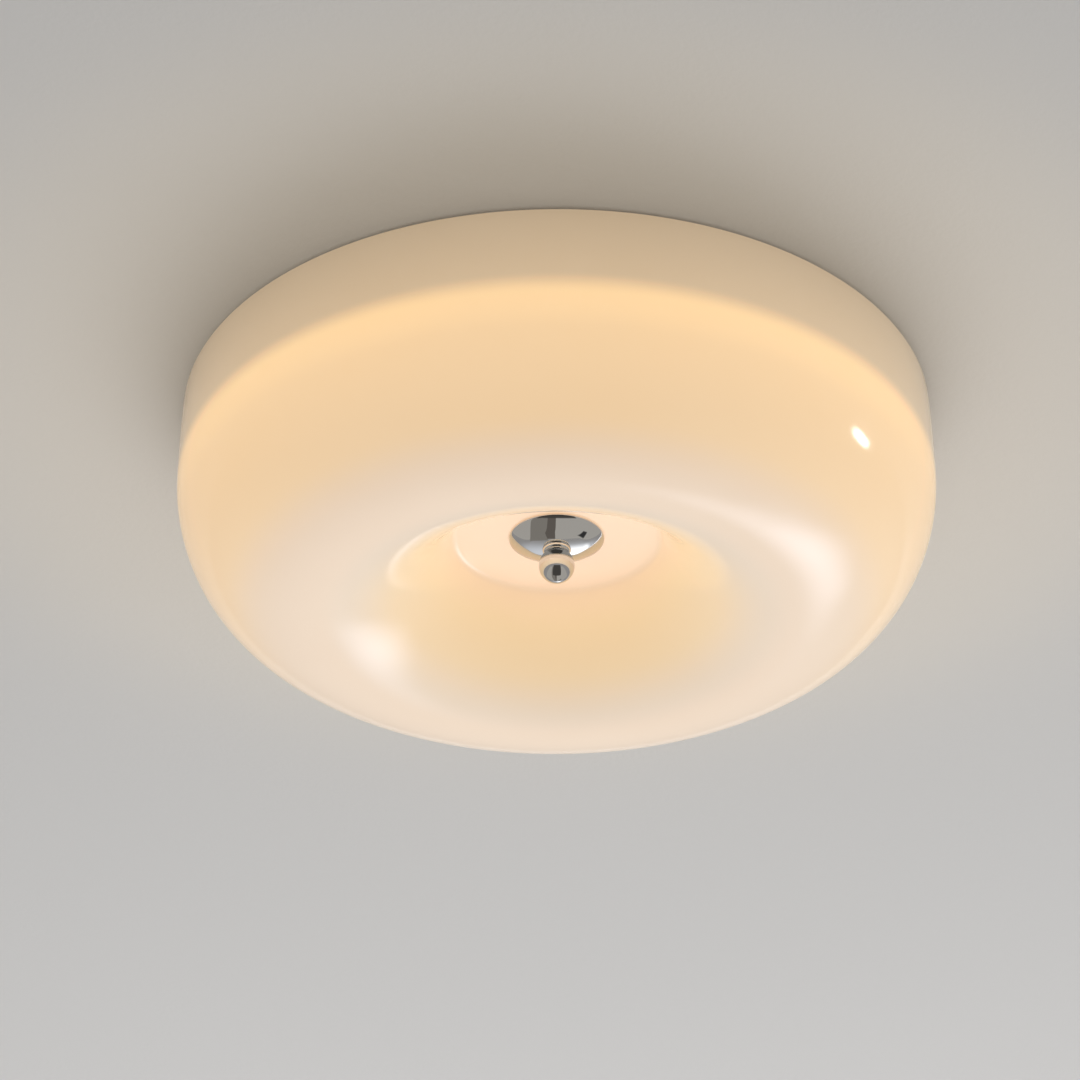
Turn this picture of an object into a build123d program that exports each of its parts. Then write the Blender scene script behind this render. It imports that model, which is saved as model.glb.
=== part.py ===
from build123d import *
from math import acos, cos, degrees, pi, radians, sin, sqrt, tan
import os

# Flush mount ceiling light, in millimetres, +Z up. The origin is the middle of the ceiling face of its
# bracket, so the lamp hangs into -Z. The bracket lies along X, and -Y is the side that faces the room.
# An opal glass bowl with a dished middle hides a steel pan that carries a ring of LEDs. A threaded rod
# hangs from the pan through the floor of the glass, and a ball finial on the rod clamps the glass.

# ---- glass shade ----
shade_d = 400.0            # over its widest ring
shade_depth = 122.3        # ceiling to the crest, its lowest ring
glass_t = 4.0
rim_gap = 2.0              # ceiling to the edge of the glass
rim_draw = 1.2             # how far the wall draws in, in radius, from the widest ring up to the rim
widest_drop = 46.5         # ceiling to the widest ring
crest_d = 258.8            # ring of the crest
recess_rise = 50.6         # crest up to the recess floor
recess_semi_r = 91.1       # the recess wall is a quarter of an ellipse with these two half axes
recess_semi_z = 118.6
floor_corner_r = 5.0       # where the recess wall meets its floor
glass_hole_r = 8.0

# ---- chassis pan, under the ceiling ----
pan_depth = 45.0
pan_t = 1.0
pan_flange_w = 4.0
pan_corner_r = 6.0
pan_glass_gap = 3.8        # between the pan's flange and the inside of the rim

# ---- ceiling bracket and the screws that carry the pan ----
bracket_l = 190.0
bracket_w = 30.0
bracket_t = 1.5
bracket_end_r = 8.0
bracket_slot_l = 20.0
bracket_slot_w = 5.5
bracket_slot_pitch = 150.0
cable_hole_r = 10.0        # the mains cable comes down through the bracket here
chassis_screw_pitch = 100.0
chassis_screw_r = 2.0
chassis_head_r = 4.0
chassis_head_h = 2.4
chassis_washer_r = 4.5
chassis_washer_t = 0.8
press_nut_r = 4.2
press_nut_h = 4.0
screw_tip_gap = 0.5        # ceiling to the tips of the chassis screws

# ---- LED board and its parts ----
board_bore_r = 62.0
board_edge_gap = 22.0      # pan wall to the edge of the board
board_t = 1.6
chip_l = 3.5
chip_w = 2.8
chip_h = 0.7
chip_pitch = 22.0
chip_rings = 3
board_screw_count = 6
board_screw_edge = 6.0     # edge of the board to its screws
board_screw_r = 1.5
board_screw_head_r = 2.8
board_screw_head_h = 1.8
board_screw_tip = 3.0      # how far the screws stand up inside the pan
connector_angle = 147.0
connector_l = 12.0
connector_w = 10.0
connector_h = 5.0
connector_edge = 1.5       # bore of the board to the connector
connector_entry_depth = 3.0
grommet_r = 4.5
grommet_bore_r = 2.9
grommet_lip = 1.5
grommet_lip_t = 1.2
grommet_from_centre = 45.5

# ---- LED driver ----
driver_l = 130.0
driver_w = 45.0
driver_h = 24.0
driver_edge_r = 3.0
driver_from_centre = 95.0
driver_ear_l = 10.0
driver_ear_t = 3.0
driver_ear_w = 20.0
driver_entry_depth = 4.0
clinch_stud_r = 1.5
clinch_stud_h = 6.5        # above the inside of the pan
small_nut_flats = 5.5
small_nut_h = 2.4

# ---- terminal block and earth ----
terminal_l = 40.0
terminal_w = 18.0
terminal_h = 14.0
terminal_from_centre = 36.0
terminal_pole_pitch = 10.0
terminal_screw_r = 1.6
terminal_screw_depth = 5.0
terminal_screw_sunk = 1.0
terminal_entry_r = 1.9
terminal_entry_depth = 5.0
terminal_entry_h = 6.0     # above the inside of the pan
terminal_shelf = 3.0       # depth of the step at the block's two ends
terminal_shelf_l = 7.0
earth_stud_at = (-30.0, -12.0)
earth_ring_r = 3.4
earth_ring_t = 0.8
earth_barrel_r = 1.7
earth_barrel_l = 7.0
earth_crimp_l = 1.0        # solid end of the barrel, next to the ring
wire_r = 1.1
wire_bore_gap = 0.1

# ---- rod, nuts and the stack that clamps the glass ----
rod_r = 5.0
rod_bore_r = 3.2
rod_above_pan = 9.0        # inside of the pan to the top of the rod
thread_gap = 0.05          # between a thread's two halves, which are drawn plain
rod_hole_gap = 0.3         # round the rod where it only passes through
rod_nut_flats = 14.0
rod_nut_h = 4.0
rod_washer_r = 8.5
rod_washer_t = 1.0
sleeve_r = 7.0
stop_disc_r = 21.0
stop_disc_t = 1.5
soft_washer_t = 2.0
soft_washer_r = 19.0
bush_gap = 0.3             # between the bush and the hole in the glass
bush_end_gap = 0.2

# ---- cap and finial ----
cap_r = 25.0
cap_t = 1.2
cap_depth = 5.0            # recess floor to the apex of the dome
cap_dome_r = 120.0
cap_edge_r = 1.4
cap_glass_gap = 0.3
cap_washer_r = 16.0
cap_washer_gap = 0.3
finial_washer_r = 7.0
finial_washer_t = 0.5
collar_r = 7.5
collar_top_r = 6.4
collar_h = 3.5
neck_r = 6.6
neck_h = 1.2
ball_r = 9.5
finial_engagement = 13.8   # length of rod inside the finial
finial_bore_spare = 1.0

# ---- heights and radii that follow ----
shade_r = shade_d / 2
crest_r = crest_d / 2
crest_z = -shade_depth
floor_z = crest_z + recess_rise
floor_top_z = floor_z + glass_t
pan_flange_r = shade_r - rim_draw - glass_t - pan_glass_gap
pan_r = pan_flange_r - pan_flange_w
pan_under_z = -pan_depth
pan_inside_z = pan_under_z + pan_t
board_r = pan_r - board_edge_gap
board_under_z = pan_under_z - board_t
rod_through_r = rod_r + rod_hole_gap
nut_bore_r = rod_r + thread_gap
stop_disc_top_z = floor_top_z + soft_washer_t + stop_disc_t
lower_nut_under_z = pan_under_z - rod_washer_t - rod_nut_h
cap_apex_z = floor_z - cap_depth
finial_top_z = cap_apex_z - finial_washer_t
rod_end_z = finial_top_z - finial_engagement
rod_top_z = pan_inside_z + rod_above_pan
slot_centres = [(side * bracket_slot_pitch / 2, 0) for side in (-1, 1)]
chassis_screw_centres = [(side * chassis_screw_pitch / 2, 0) for side in (-1, 1)]
driver_stud_x = driver_l / 2 + driver_ear_l / 2
driver_stud_centres = [(side * driver_stud_x, driver_from_centre) for side in (-1, 1)]
terminal_poles_x = [-terminal_pole_pitch, 0, terminal_pole_pitch]
terminal_fixing_x = terminal_l / 2 - terminal_shelf_l / 2
terminal_fixing_centres = [(side * terminal_fixing_x, -terminal_from_centre) for side in (-1, 1)]
connector_direction = (cos(radians(connector_angle)), sin(radians(connector_angle)))
connector_start_r = board_bore_r + connector_edge
grommet_at = (grommet_from_centre * connector_direction[0], grommet_from_centre * connector_direction[1])


def ring(outer_r, bore_r, top_z, height):
    """A flat washer or sleeve on the Z axis, from top_z down."""
    with BuildPart() as washer:
        with BuildSketch(Plane.XY.offset(top_z)):
            Circle(outer_r)
            Circle(bore_r, mode=Mode.SUBTRACT)
        extrude(amount=-height)
    return washer.part


def hex_nut(flats, bore_r, height, top_z, centres=((0, 0),)):
    """Hexagon nuts at the centres, from top_z down, with their corners turned off above and below."""
    corner_r = flats / sqrt(3)
    turned_r = flats / 2
    turned_h = (corner_r - turned_r) * tan(radians(30))
    nuts = []
    for x, y in centres:
        with BuildPart() as nut:
            with BuildSketch(Plane((x, y, top_z))):
                RegularPolygon(radius=turned_r, side_count=6, major_radius=False)
                Circle(bore_r, mode=Mode.SUBTRACT)
            extrude(amount=-height)
            with BuildSketch(Plane((x, y, top_z), x_dir=(1, 0, 0), z_dir=(0, -1, 0))):
                Polygon(
                    (0, 0),
                    (turned_r, 0),
                    (corner_r, -turned_h),
                    (corner_r, -height + turned_h),
                    (turned_r, -height),
                    (0, -height),
                    align=None,
                )
            revolve(axis=Axis((x, y, 0), (0, 0, 1)), mode=Mode.INTERSECT)
        nuts.append(nut.part)
    return Part(children=nuts) if len(nuts) > 1 else nuts[0]


def headed_screws(centres, shank_r, head_r, head_h, head_top_z, tip_z):
    """Domed screws put in from below: each shank runs from its head up to tip_z, with a cross recess."""
    cross_w = shank_r * 0.45
    screws = []
    for x, y in centres:
        with BuildPart() as screw:
            with BuildSketch(Plane((x, y, head_top_z))):
                Circle(head_r)
            extrude(amount=-head_h)
            fillet(screw.edges().group_by(Axis.Z)[0], radius=head_h * 0.6)
            with BuildSketch(Plane((x, y, head_top_z - head_h))):
                Rectangle(head_r, cross_w)
                Rectangle(cross_w, head_r)
            extrude(amount=head_h * 0.5, mode=Mode.SUBTRACT)
            with BuildSketch(Plane((x, y, head_top_z))):
                Circle(shank_r)
            extrude(amount=tip_z - head_top_z)
            chamfer(screw.edges().group_by(Axis.Z)[-1], length=shank_r * 0.3)
        screws.append(screw.part)
    return Part(children=screws)


def wire(route, name):
    """One insulated wire: straight runs joined by the largest arcs that their lengths allow."""
    points = [Vector(*point) for point in route]
    runs = [end - start for start, end in zip(points, points[1:])]
    bend_radii = []
    for before, after in zip(runs, runs[1:]):
        turn = radians(before.get_angle(after))
        bend_radii.append(0.45 * min(before.length, after.length) / tan(turn / 2))
    with BuildPart() as tube:
        with BuildLine() as path:
            FilletPolyline(*points, radius=bend_radii)
        with BuildSketch(Plane(origin=path.line @ 0, z_dir=path.line % 0)):
            Circle(wire_r)
        sweep()
    volume_share = tube.part.volume / (pi * wire_r**2 * path.wire().length)
    print(f"{name}: tightest bend {min(bend_radii):.1f} mm, volume {volume_share:.4f} of section x length")
    return tube.part


# ---- ceiling bracket: a strap with two slots for the ceiling screws ----
with BuildPart() as ceiling_bracket:
    with BuildSketch():
        RectangleRounded(bracket_l, bracket_w, bracket_end_r)
        Circle(cable_hole_r, mode=Mode.SUBTRACT)
        with Locations(*slot_centres):
            SlotOverall(bracket_slot_l, bracket_slot_w, mode=Mode.SUBTRACT)
        with Locations(*chassis_screw_centres):
            Circle(chassis_screw_r + thread_gap, mode=Mode.SUBTRACT)
    extrude(amount=-bracket_t)

# ---- press nuts under the bracket, which take the chassis screws ----
with BuildPart() as bracket_nuts:
    with BuildSketch(Plane.XY.offset(-bracket_t)):
        with Locations(*chassis_screw_centres):
            Circle(press_nut_r)
            Circle(chassis_screw_r + thread_gap, mode=Mode.SUBTRACT)
    extrude(amount=-press_nut_h)

# ---- chassis pan: a spun steel dish, open to the ceiling, with a flange that lies on it ----
pan_outline = [
    (0, pan_under_z),
    (pan_r, pan_under_z),
    (pan_r, -pan_t),
    (pan_flange_r, -pan_t),
    (pan_flange_r, 0),
    (pan_r - pan_t, 0),
    (pan_r - pan_t, pan_inside_z),
    (0, pan_inside_z),
]
pan_bend_radii = [0, pan_corner_r, pan_t, 0, 0, 2 * pan_t, pan_corner_r - pan_t, 0]
board_screw_circle_r = board_r - board_screw_edge
with BuildPart() as chassis_pan:
    with BuildSketch(Plane.XZ):
        with BuildLine():
            FilletPolyline(*pan_outline, radius=pan_bend_radii, close=True)
        make_face()
    revolve(axis=Axis.Z)
    with BuildSketch(Plane.XY.offset(pan_inside_z)):
        Circle(rod_through_r)
        with Locations(grommet_at):
            Circle(grommet_r)
        with Locations(*chassis_screw_centres):
            Circle(chassis_screw_r + rod_hole_gap)
        with Locations(*driver_stud_centres, earth_stud_at, *terminal_fixing_centres):
            Circle(clinch_stud_r + thread_gap)
        with PolarLocations(board_screw_circle_r, board_screw_count):
            Circle(board_screw_r + thread_gap)
    extrude(amount=-pan_t, mode=Mode.SUBTRACT)

# ---- chassis screws: up through the pan into the bracket's press nuts ----
chassis_screws = headed_screws(
    chassis_screw_centres,
    chassis_screw_r,
    chassis_head_r,
    chassis_head_h,
    pan_under_z - chassis_washer_t,
    -screw_tip_gap,
)
with BuildPart() as chassis_washers:
    with BuildSketch(Plane.XY.offset(pan_under_z)):
        with Locations(*chassis_screw_centres):
            Circle(chassis_washer_r)
            Circle(chassis_screw_r + thread_gap, mode=Mode.SUBTRACT)
    extrude(amount=-chassis_washer_t)

# ---- LED board: an aluminium ring against the underside of the pan ----
with BuildPart() as led_board:
    with BuildSketch(Plane.XY.offset(pan_under_z)):
        Circle(board_r)
        Circle(board_bore_r, mode=Mode.SUBTRACT)
        with PolarLocations(board_screw_circle_r, board_screw_count):
            Circle(board_screw_r + thread_gap, mode=Mode.SUBTRACT)
    extrude(amount=-board_t)

# ---- LEDs: rings of small packages, spread evenly across the board ----
chip_ring_step = (board_r - board_bore_r) / chip_rings
with BuildPart() as led_chips:
    with BuildSketch(Plane.XY.offset(board_under_z)):
        for ring_number in range(chip_rings):
            chip_ring_r = board_bore_r + (ring_number + 0.5) * chip_ring_step
            chips_in_ring = round(2 * pi * chip_ring_r / chip_pitch)
            with PolarLocations(chip_ring_r, chips_in_ring, start_angle=180 / chips_in_ring):
                Rectangle(chip_w, chip_l)
    extrude(amount=-chip_h)

board_screw_angles = [2 * pi * n / board_screw_count for n in range(board_screw_count)]
board_screw_centres = [
    (board_screw_circle_r * cos(angle), board_screw_circle_r * sin(angle)) for angle in board_screw_angles
]
board_screws = headed_screws(
    board_screw_centres,
    board_screw_r,
    board_screw_head_r,
    board_screw_head_h,
    board_under_z,
    pan_inside_z + board_screw_tip,
)

# ---- connector on the LED board, its wire entries facing the rod ----
connector_frame = Plane(
    origin=(0, 0, board_under_z), x_dir=(*connector_direction, 0), z_dir=(0, 0, 1)
)
wire_spacing = connector_w / 2
with BuildPart() as board_connector:
    with BuildSketch(connector_frame):
        with Locations((connector_start_r + connector_l / 2, 0)):
            Rectangle(connector_l, connector_w)
    extrude(amount=-connector_h)
    fillet(board_connector.edges().group_by(Axis.Z)[0], radius=0.6)
    connector_entry_face = Plane(
        origin=connector_frame.from_local_coords((connector_start_r, 0, -connector_h / 2)),
        x_dir=(-connector_direction[1], connector_direction[0], 0),
        z_dir=(connector_direction[0], connector_direction[1], 0),
    )
    with BuildSketch(connector_entry_face):
        with Locations((-wire_spacing / 2, 0), (wire_spacing / 2, 0)):
            Circle(wire_r + wire_bore_gap)
    extrude(amount=connector_entry_depth, mode=Mode.SUBTRACT)

# ---- rubber grommet in the pan, where the LED wires come through ----
with BuildPart() as wire_grommet:
    with BuildSketch(Plane((*grommet_at, pan_inside_z + grommet_lip_t))):
        Circle(grommet_r + grommet_lip)
    extrude(amount=-grommet_lip_t)
    with BuildSketch(Plane((*grommet_at, pan_inside_z))):
        Circle(grommet_r)
    extrude(amount=-pan_t)
    with BuildSketch(Plane((*grommet_at, pan_under_z))):
        Circle(grommet_r + grommet_lip)
    extrude(amount=-grommet_lip_t)
    with BuildSketch(Plane((*grommet_at, pan_inside_z + grommet_lip_t))):
        Circle(grommet_bore_r)
    extrude(amount=-(2 * grommet_lip_t + pan_t), mode=Mode.SUBTRACT)

# ---- LED driver: a closed plastic case with an ear at each end ----
driver_wire_z = pan_inside_z + driver_h / 2
driver_wire_y = [driver_from_centre - wire_spacing / 2, driver_from_centre + wire_spacing / 2]
with BuildPart() as led_driver:
    with BuildSketch(Plane((0, driver_from_centre, pan_inside_z))):
        Rectangle(driver_l, driver_w)
    extrude(amount=driver_h)
    fillet(led_driver.edges().filter_by(Axis.Z), radius=driver_edge_r)
    fillet(led_driver.edges().group_by(Axis.Z)[-1], radius=driver_edge_r / 2)
    with BuildSketch(Plane((0, driver_from_centre, pan_inside_z))):
        RectangleRounded(driver_l + 2 * driver_ear_l, driver_ear_w, driver_edge_r)
        with Locations((-driver_stud_x, 0), (driver_stud_x, 0)):
            Circle(clinch_stud_r + thread_gap, mode=Mode.SUBTRACT)
    extrude(amount=driver_ear_t)
    for side in (-1, 1):
        entry_origin = (side * driver_l / 2, driver_from_centre, driver_wire_z)
        with BuildSketch(Plane(entry_origin, x_dir=(0, 1, 0), z_dir=(-side, 0, 0))):
            with Locations((-wire_spacing / 2, 0), (wire_spacing / 2, 0)):
                Circle(wire_r + wire_bore_gap)
        extrude(amount=driver_entry_depth, mode=Mode.SUBTRACT)

# ---- clinch studs, flush with the underside of the pan, and the nuts that hold the driver ----
with BuildPart() as driver_studs:
    with BuildSketch(Plane.XY.offset(pan_under_z)):
        with Locations(*driver_stud_centres):
            Circle(clinch_stud_r)
    extrude(amount=pan_t + clinch_stud_h)
driver_nuts = hex_nut(
    small_nut_flats, clinch_stud_r + thread_gap, small_nut_h,
    pan_inside_z + driver_ear_t + small_nut_h, driver_stud_centres,
)

# ---- terminal block: three poles, its supply side towards -Y ----
terminal_entry_z = pan_inside_z + terminal_entry_h
terminal_top_z = pan_inside_z + terminal_h
with BuildPart() as terminal_block:
    with BuildSketch(Plane((0, -terminal_from_centre, pan_inside_z))):
        RectangleRounded(terminal_l, terminal_w, 1.0)
    extrude(amount=terminal_h)
    with BuildSketch(Plane((0, -terminal_from_centre, terminal_top_z))):
        with Locations(*[(side * (terminal_l - terminal_shelf_l) / 2, 0) for side in (-1, 1)]):
            Rectangle(terminal_shelf_l, terminal_w)
    extrude(amount=terminal_shelf - terminal_h, mode=Mode.SUBTRACT)
    with BuildSketch(Plane((0, -terminal_from_centre, pan_inside_z))):
        with Locations(*[(side * terminal_fixing_x, 0) for side in (-1, 1)]):
            Circle(clinch_stud_r + thread_gap)
    extrude(amount=terminal_shelf, mode=Mode.SUBTRACT)
    with BuildSketch(Plane((0, -terminal_from_centre, terminal_top_z))):
        with Locations(*[(x, side * terminal_w / 4) for x in terminal_poles_x for side in (-1, 1)]):
            Circle(terminal_screw_r + thread_gap)
    extrude(amount=-terminal_screw_depth, mode=Mode.SUBTRACT)
    for side in (-1, 1):
        entry_face_y = -terminal_from_centre + side * terminal_w / 2
        with BuildSketch(Plane((0, entry_face_y, terminal_entry_z), x_dir=(1, 0, 0), z_dir=(0, -side, 0))):
            with Locations(*[(x, 0) for x in terminal_poles_x]):
                Circle(terminal_entry_r)
        extrude(amount=terminal_entry_depth, mode=Mode.SUBTRACT)

# ---- clamping screws in the terminal block, slotted ----
with BuildPart() as terminal_screws:
    with BuildSketch(Plane((0, -terminal_from_centre, terminal_top_z - terminal_screw_sunk))):
        with Locations(*[(x, side * terminal_w / 4) for x in terminal_poles_x for side in (-1, 1)]):
            Circle(terminal_screw_r)
    extrude(amount=terminal_screw_sunk - terminal_screw_depth)
    with BuildSketch(Plane((0, -terminal_from_centre, terminal_top_z - terminal_screw_sunk))):
        with Locations(*[(x, side * terminal_w / 4) for x in terminal_poles_x for side in (-1, 1)]):
            Rectangle(0.5, 2 * terminal_screw_r)
    extrude(amount=-terminal_screw_sunk, mode=Mode.SUBTRACT)

# ---- studs and nuts that hold the terminal block ----
with BuildPart() as terminal_studs:
    with BuildSketch(Plane.XY.offset(pan_under_z)):
        with Locations(*terminal_fixing_centres):
            Circle(clinch_stud_r)
    extrude(amount=pan_t + clinch_stud_h)
terminal_nuts = hex_nut(
    small_nut_flats - 0.5, clinch_stud_r + thread_gap, small_nut_h,
    pan_inside_z + terminal_shelf + small_nut_h, terminal_fixing_centres,
)

# ---- earth stud, its ring terminal and its nut ----
with BuildPart() as earth_stud:
    with BuildSketch(Plane((*earth_stud_at, pan_under_z))):
        Circle(clinch_stud_r)
    extrude(amount=pan_t + clinch_stud_h)

earth_x, earth_y = earth_stud_at
earth_barrel_y = earth_y + 2 * earth_ring_r
earth_barrel_z = pan_inside_z + earth_barrel_r
with BuildPart() as earth_terminal:
    with BuildSketch(Plane((earth_x, earth_y, pan_inside_z))):
        Circle(earth_ring_r)
        with Locations((0, earth_ring_r)):
            Rectangle(2 * earth_barrel_r, 2 * earth_ring_r)
        Circle(clinch_stud_r + thread_gap, mode=Mode.SUBTRACT)
    extrude(amount=earth_ring_t)
    with BuildSketch(Plane((earth_x, earth_barrel_y, earth_barrel_z), z_dir=(0, 1, 0))):
        Circle(earth_barrel_r)
    extrude(amount=earth_barrel_l)
    with BuildSketch(Plane((earth_x, earth_barrel_y + earth_barrel_l, earth_barrel_z), z_dir=(0, -1, 0))):
        Circle(wire_r + wire_bore_gap)
    extrude(amount=earth_barrel_l - earth_crimp_l, mode=Mode.SUBTRACT)
earth_nut = hex_nut(
    small_nut_flats, clinch_stud_r + thread_gap, small_nut_h,
    pan_inside_z + earth_ring_t + small_nut_h, [earth_stud_at],
)

# ---- wires ----
terminal_lamp_y = -terminal_from_centre + terminal_w / 2
terminal_wire_y = terminal_lamp_y - terminal_entry_depth
driver_end_x = driver_l / 2 - driver_entry_depth
line_wire = wire(
    [
        (terminal_poles_x[2], terminal_wire_y, terminal_entry_z),
        (terminal_poles_x[2], terminal_lamp_y + 5, terminal_entry_z),
        (20, -9, terminal_entry_z + 2),
        (33, 11, terminal_entry_z + 4),
        (56, 27, driver_wire_z - 2),
        (79, 46, driver_wire_z - 1),
        (91, 71, driver_wire_z + 1),
        (83, driver_wire_y[0], driver_wire_z),
        (driver_end_x, driver_wire_y[0], driver_wire_z),
    ],
    "line_wire",
)
neutral_wire = wire(
    [
        (terminal_poles_x[1], terminal_wire_y, terminal_entry_z),
        (terminal_poles_x[1], terminal_lamp_y + 4, terminal_entry_z),
        (10, -14, terminal_entry_z + 1),
        (22, 2, terminal_entry_z + 4),
        (37, 22, terminal_entry_z + 6),
        (63, 37, driver_wire_z + 3),
        (87, 53, driver_wire_z + 5),
        (97, 80, driver_wire_z + 4),
        (85, driver_wire_y[1], driver_wire_z),
        (driver_end_x, driver_wire_y[1], driver_wire_z),
    ],
    "neutral_wire",
)
earth_wire = wire(
    [
        (terminal_poles_x[0], terminal_wire_y, terminal_entry_z),
        (terminal_poles_x[0], -14, terminal_entry_z),
        (terminal_poles_x[0] - 2, 2, terminal_entry_z + 2),
        (-19, 14, terminal_entry_z + 2),
        (-28, 14, earth_barrel_z + 2),
        (earth_x, 6, earth_barrel_z),
        (earth_x, earth_barrel_y + earth_crimp_l, earth_barrel_z),
    ],
    "earth_wire",
)


def to_connector(side):
    """The last points of a wire to the board's connector, side across from the line out from the rod."""
    entry_z = -connector_h / 2
    in_grommet = side * (grommet_bore_r - wire_r - wire_bore_gap) * 2 / wire_spacing
    points = [
        (grommet_from_centre, in_grommet, pan_inside_z + 14 - board_under_z),
        (grommet_from_centre, in_grommet, entry_z),
        (connector_start_r - 8, side, entry_z),
        (connector_start_r + connector_entry_depth, side, entry_z),
    ]
    return [tuple(connector_frame.from_local_coords(point)) for point in points]


led_wire_positive = wire(
    [
        (-driver_end_x, driver_wire_y[0], driver_wire_z),
        (-78, driver_wire_y[0], driver_wire_z),
        (-87, 76, driver_wire_z + 1),
        (-80, 53, driver_wire_z + 2),
        (-61, 35, driver_wire_z + 3),
        *to_connector(-wire_spacing / 2),
    ],
    "led_wire_positive",
)
led_wire_negative = wire(
    [
        (-driver_end_x, driver_wire_y[1], driver_wire_z),
        (-82, driver_wire_y[1], driver_wire_z),
        (-93, 77, driver_wire_z + 1),
        (-86, 49, driver_wire_z + 2),
        (-65, 29, driver_wire_z + 3),
        *to_connector(wire_spacing / 2),
    ],
    "led_wire_negative",
)

# ---- centre rod, hollow and threaded, and the two nuts that fix it to the pan ----
centre_rod = ring(rod_r, rod_bore_r, rod_top_z, rod_top_z - rod_end_z)
rod_washer_upper = ring(rod_washer_r, rod_through_r, pan_inside_z + rod_washer_t, rod_washer_t)
rod_nut_upper = hex_nut(rod_nut_flats, nut_bore_r, rod_nut_h, pan_inside_z + rod_washer_t + rod_nut_h)
rod_washer_lower = ring(rod_washer_r, rod_through_r, pan_under_z, rod_washer_t)
rod_nut_lower = hex_nut(rod_nut_flats, nut_bore_r, rod_nut_h, pan_under_z - rod_washer_t)

# ---- stack that the glass is pulled up against ----
spacer_sleeve = ring(sleeve_r, rod_through_r, lower_nut_under_z, lower_nut_under_z - stop_disc_top_z)
stop_disc = ring(stop_disc_r, rod_through_r, stop_disc_top_z, stop_disc_t)
glass_washer = ring(soft_washer_r, rod_through_r, floor_top_z + soft_washer_t, soft_washer_t)
centring_bush = ring(
    glass_hole_r - bush_gap, rod_through_r, floor_top_z - bush_end_gap, glass_t - 2 * bush_end_gap
)

# ---- glass shade: revolved from its outline, the inside parallel to the outside ----
outer_semi_r = shade_r - crest_r
outer_semi_z = shade_depth - widest_drop
recess_centre_z = crest_z + recess_semi_z


def recess_arc_angle(height, semi_z):
    """How far along the recess ellipse, in degrees up from the crest, the given height lies."""
    return degrees(acos((recess_centre_z - height) / semi_z))


with BuildPart() as glass_shade:
    with BuildSketch(Plane.XZ) as shade_outline:
        with BuildLine():
            outer_wall = TangentArc(
                (shade_r, -widest_drop), (shade_r - rim_draw, -rim_gap), tangent=(0, 1)
            )
            outer_bowl = EllipticalCenterArc(
                (crest_r, -widest_drop), outer_semi_r, outer_semi_z, start_angle=0, arc_size=-90
            )
            outer_recess = EllipticalCenterArc(
                (crest_r, recess_centre_z), recess_semi_r, recess_semi_z,
                start_angle=270, arc_size=-recess_arc_angle(floor_z, recess_semi_z),
            )
            inner_recess = EllipticalCenterArc(
                (crest_r, recess_centre_z), recess_semi_r - glass_t, recess_semi_z - glass_t,
                start_angle=270, arc_size=-recess_arc_angle(floor_top_z, recess_semi_z - glass_t),
            )
            inner_bowl = EllipticalCenterArc(
                (crest_r, -widest_drop), outer_semi_r - glass_t, outer_semi_z - glass_t,
                start_angle=0, arc_size=-90,
            )
            inner_wall = TangentArc(
                (shade_r - glass_t, -widest_drop), (shade_r - rim_draw - glass_t, -rim_gap), tangent=(0, 1)
            )
            Line(outer_wall @ 1, inner_wall @ 1)
            Polyline(outer_recess @ 1, (glass_hole_r, floor_z), (glass_hole_r, floor_top_z), inner_recess @ 1)
        make_face()
        for corner in (outer_recess @ 1, inner_recess @ 1):
            fillet(shade_outline.vertices().sort_by_distance(corner)[0], radius=floor_corner_r)
        for corner in (outer_wall @ 1, inner_wall @ 1):
            fillet(shade_outline.vertices().sort_by_distance(corner)[0], radius=glass_t * 0.4)
    revolve(axis=Axis.Z)

# ---- cap: a shallow spun dome that hides the hole in the glass ----
dome_centre_z = cap_apex_z + cap_dome_r


def dome_z(r, dome_r):
    """Height of the dome of radius dome_r at r from the axis."""
    return dome_centre_z - sqrt(dome_r**2 - r**2)


def dome_points(edge_r, dome_r):
    """Three points of a dome's arc, from the rod's hole out to edge_r."""
    return [(r, dome_z(r, dome_r)) for r in (rod_through_r, (rod_through_r + edge_r) / 2, edge_r)]


cap_top_z = floor_z - cap_glass_gap
cap_inner_r = cap_r - cap_t
dome_inner_r = cap_dome_r - cap_t
with BuildPart() as cap_disc:
    with BuildSketch(Plane.XZ) as cap_outline:
        with BuildLine():
            dome = ThreePointArc(*dome_points(cap_r, cap_dome_r))
            dome_inside = ThreePointArc(*dome_points(cap_inner_r, dome_inner_r))
            Polyline(dome @ 1, (cap_r, cap_top_z), (cap_inner_r, cap_top_z), dome_inside @ 1)
            Line(dome @ 0, dome_inside @ 0)
        make_face()
        fillet(cap_outline.vertices().sort_by_distance(dome @ 1)[0], radius=cap_edge_r)
    revolve(axis=Axis.Z)

# ---- soft washer between the cap and the glass ----
cap_washer_t = floor_z - dome_z(cap_washer_r, dome_inner_r) - cap_washer_gap
cap_washer = ring(cap_washer_r, rod_through_r, floor_z, cap_washer_t)

# ---- finial: washer, then a ball on a collar, bored blind for the rod ----
finial_washer = ring(finial_washer_r, rod_through_r, cap_apex_z, finial_washer_t)

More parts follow.
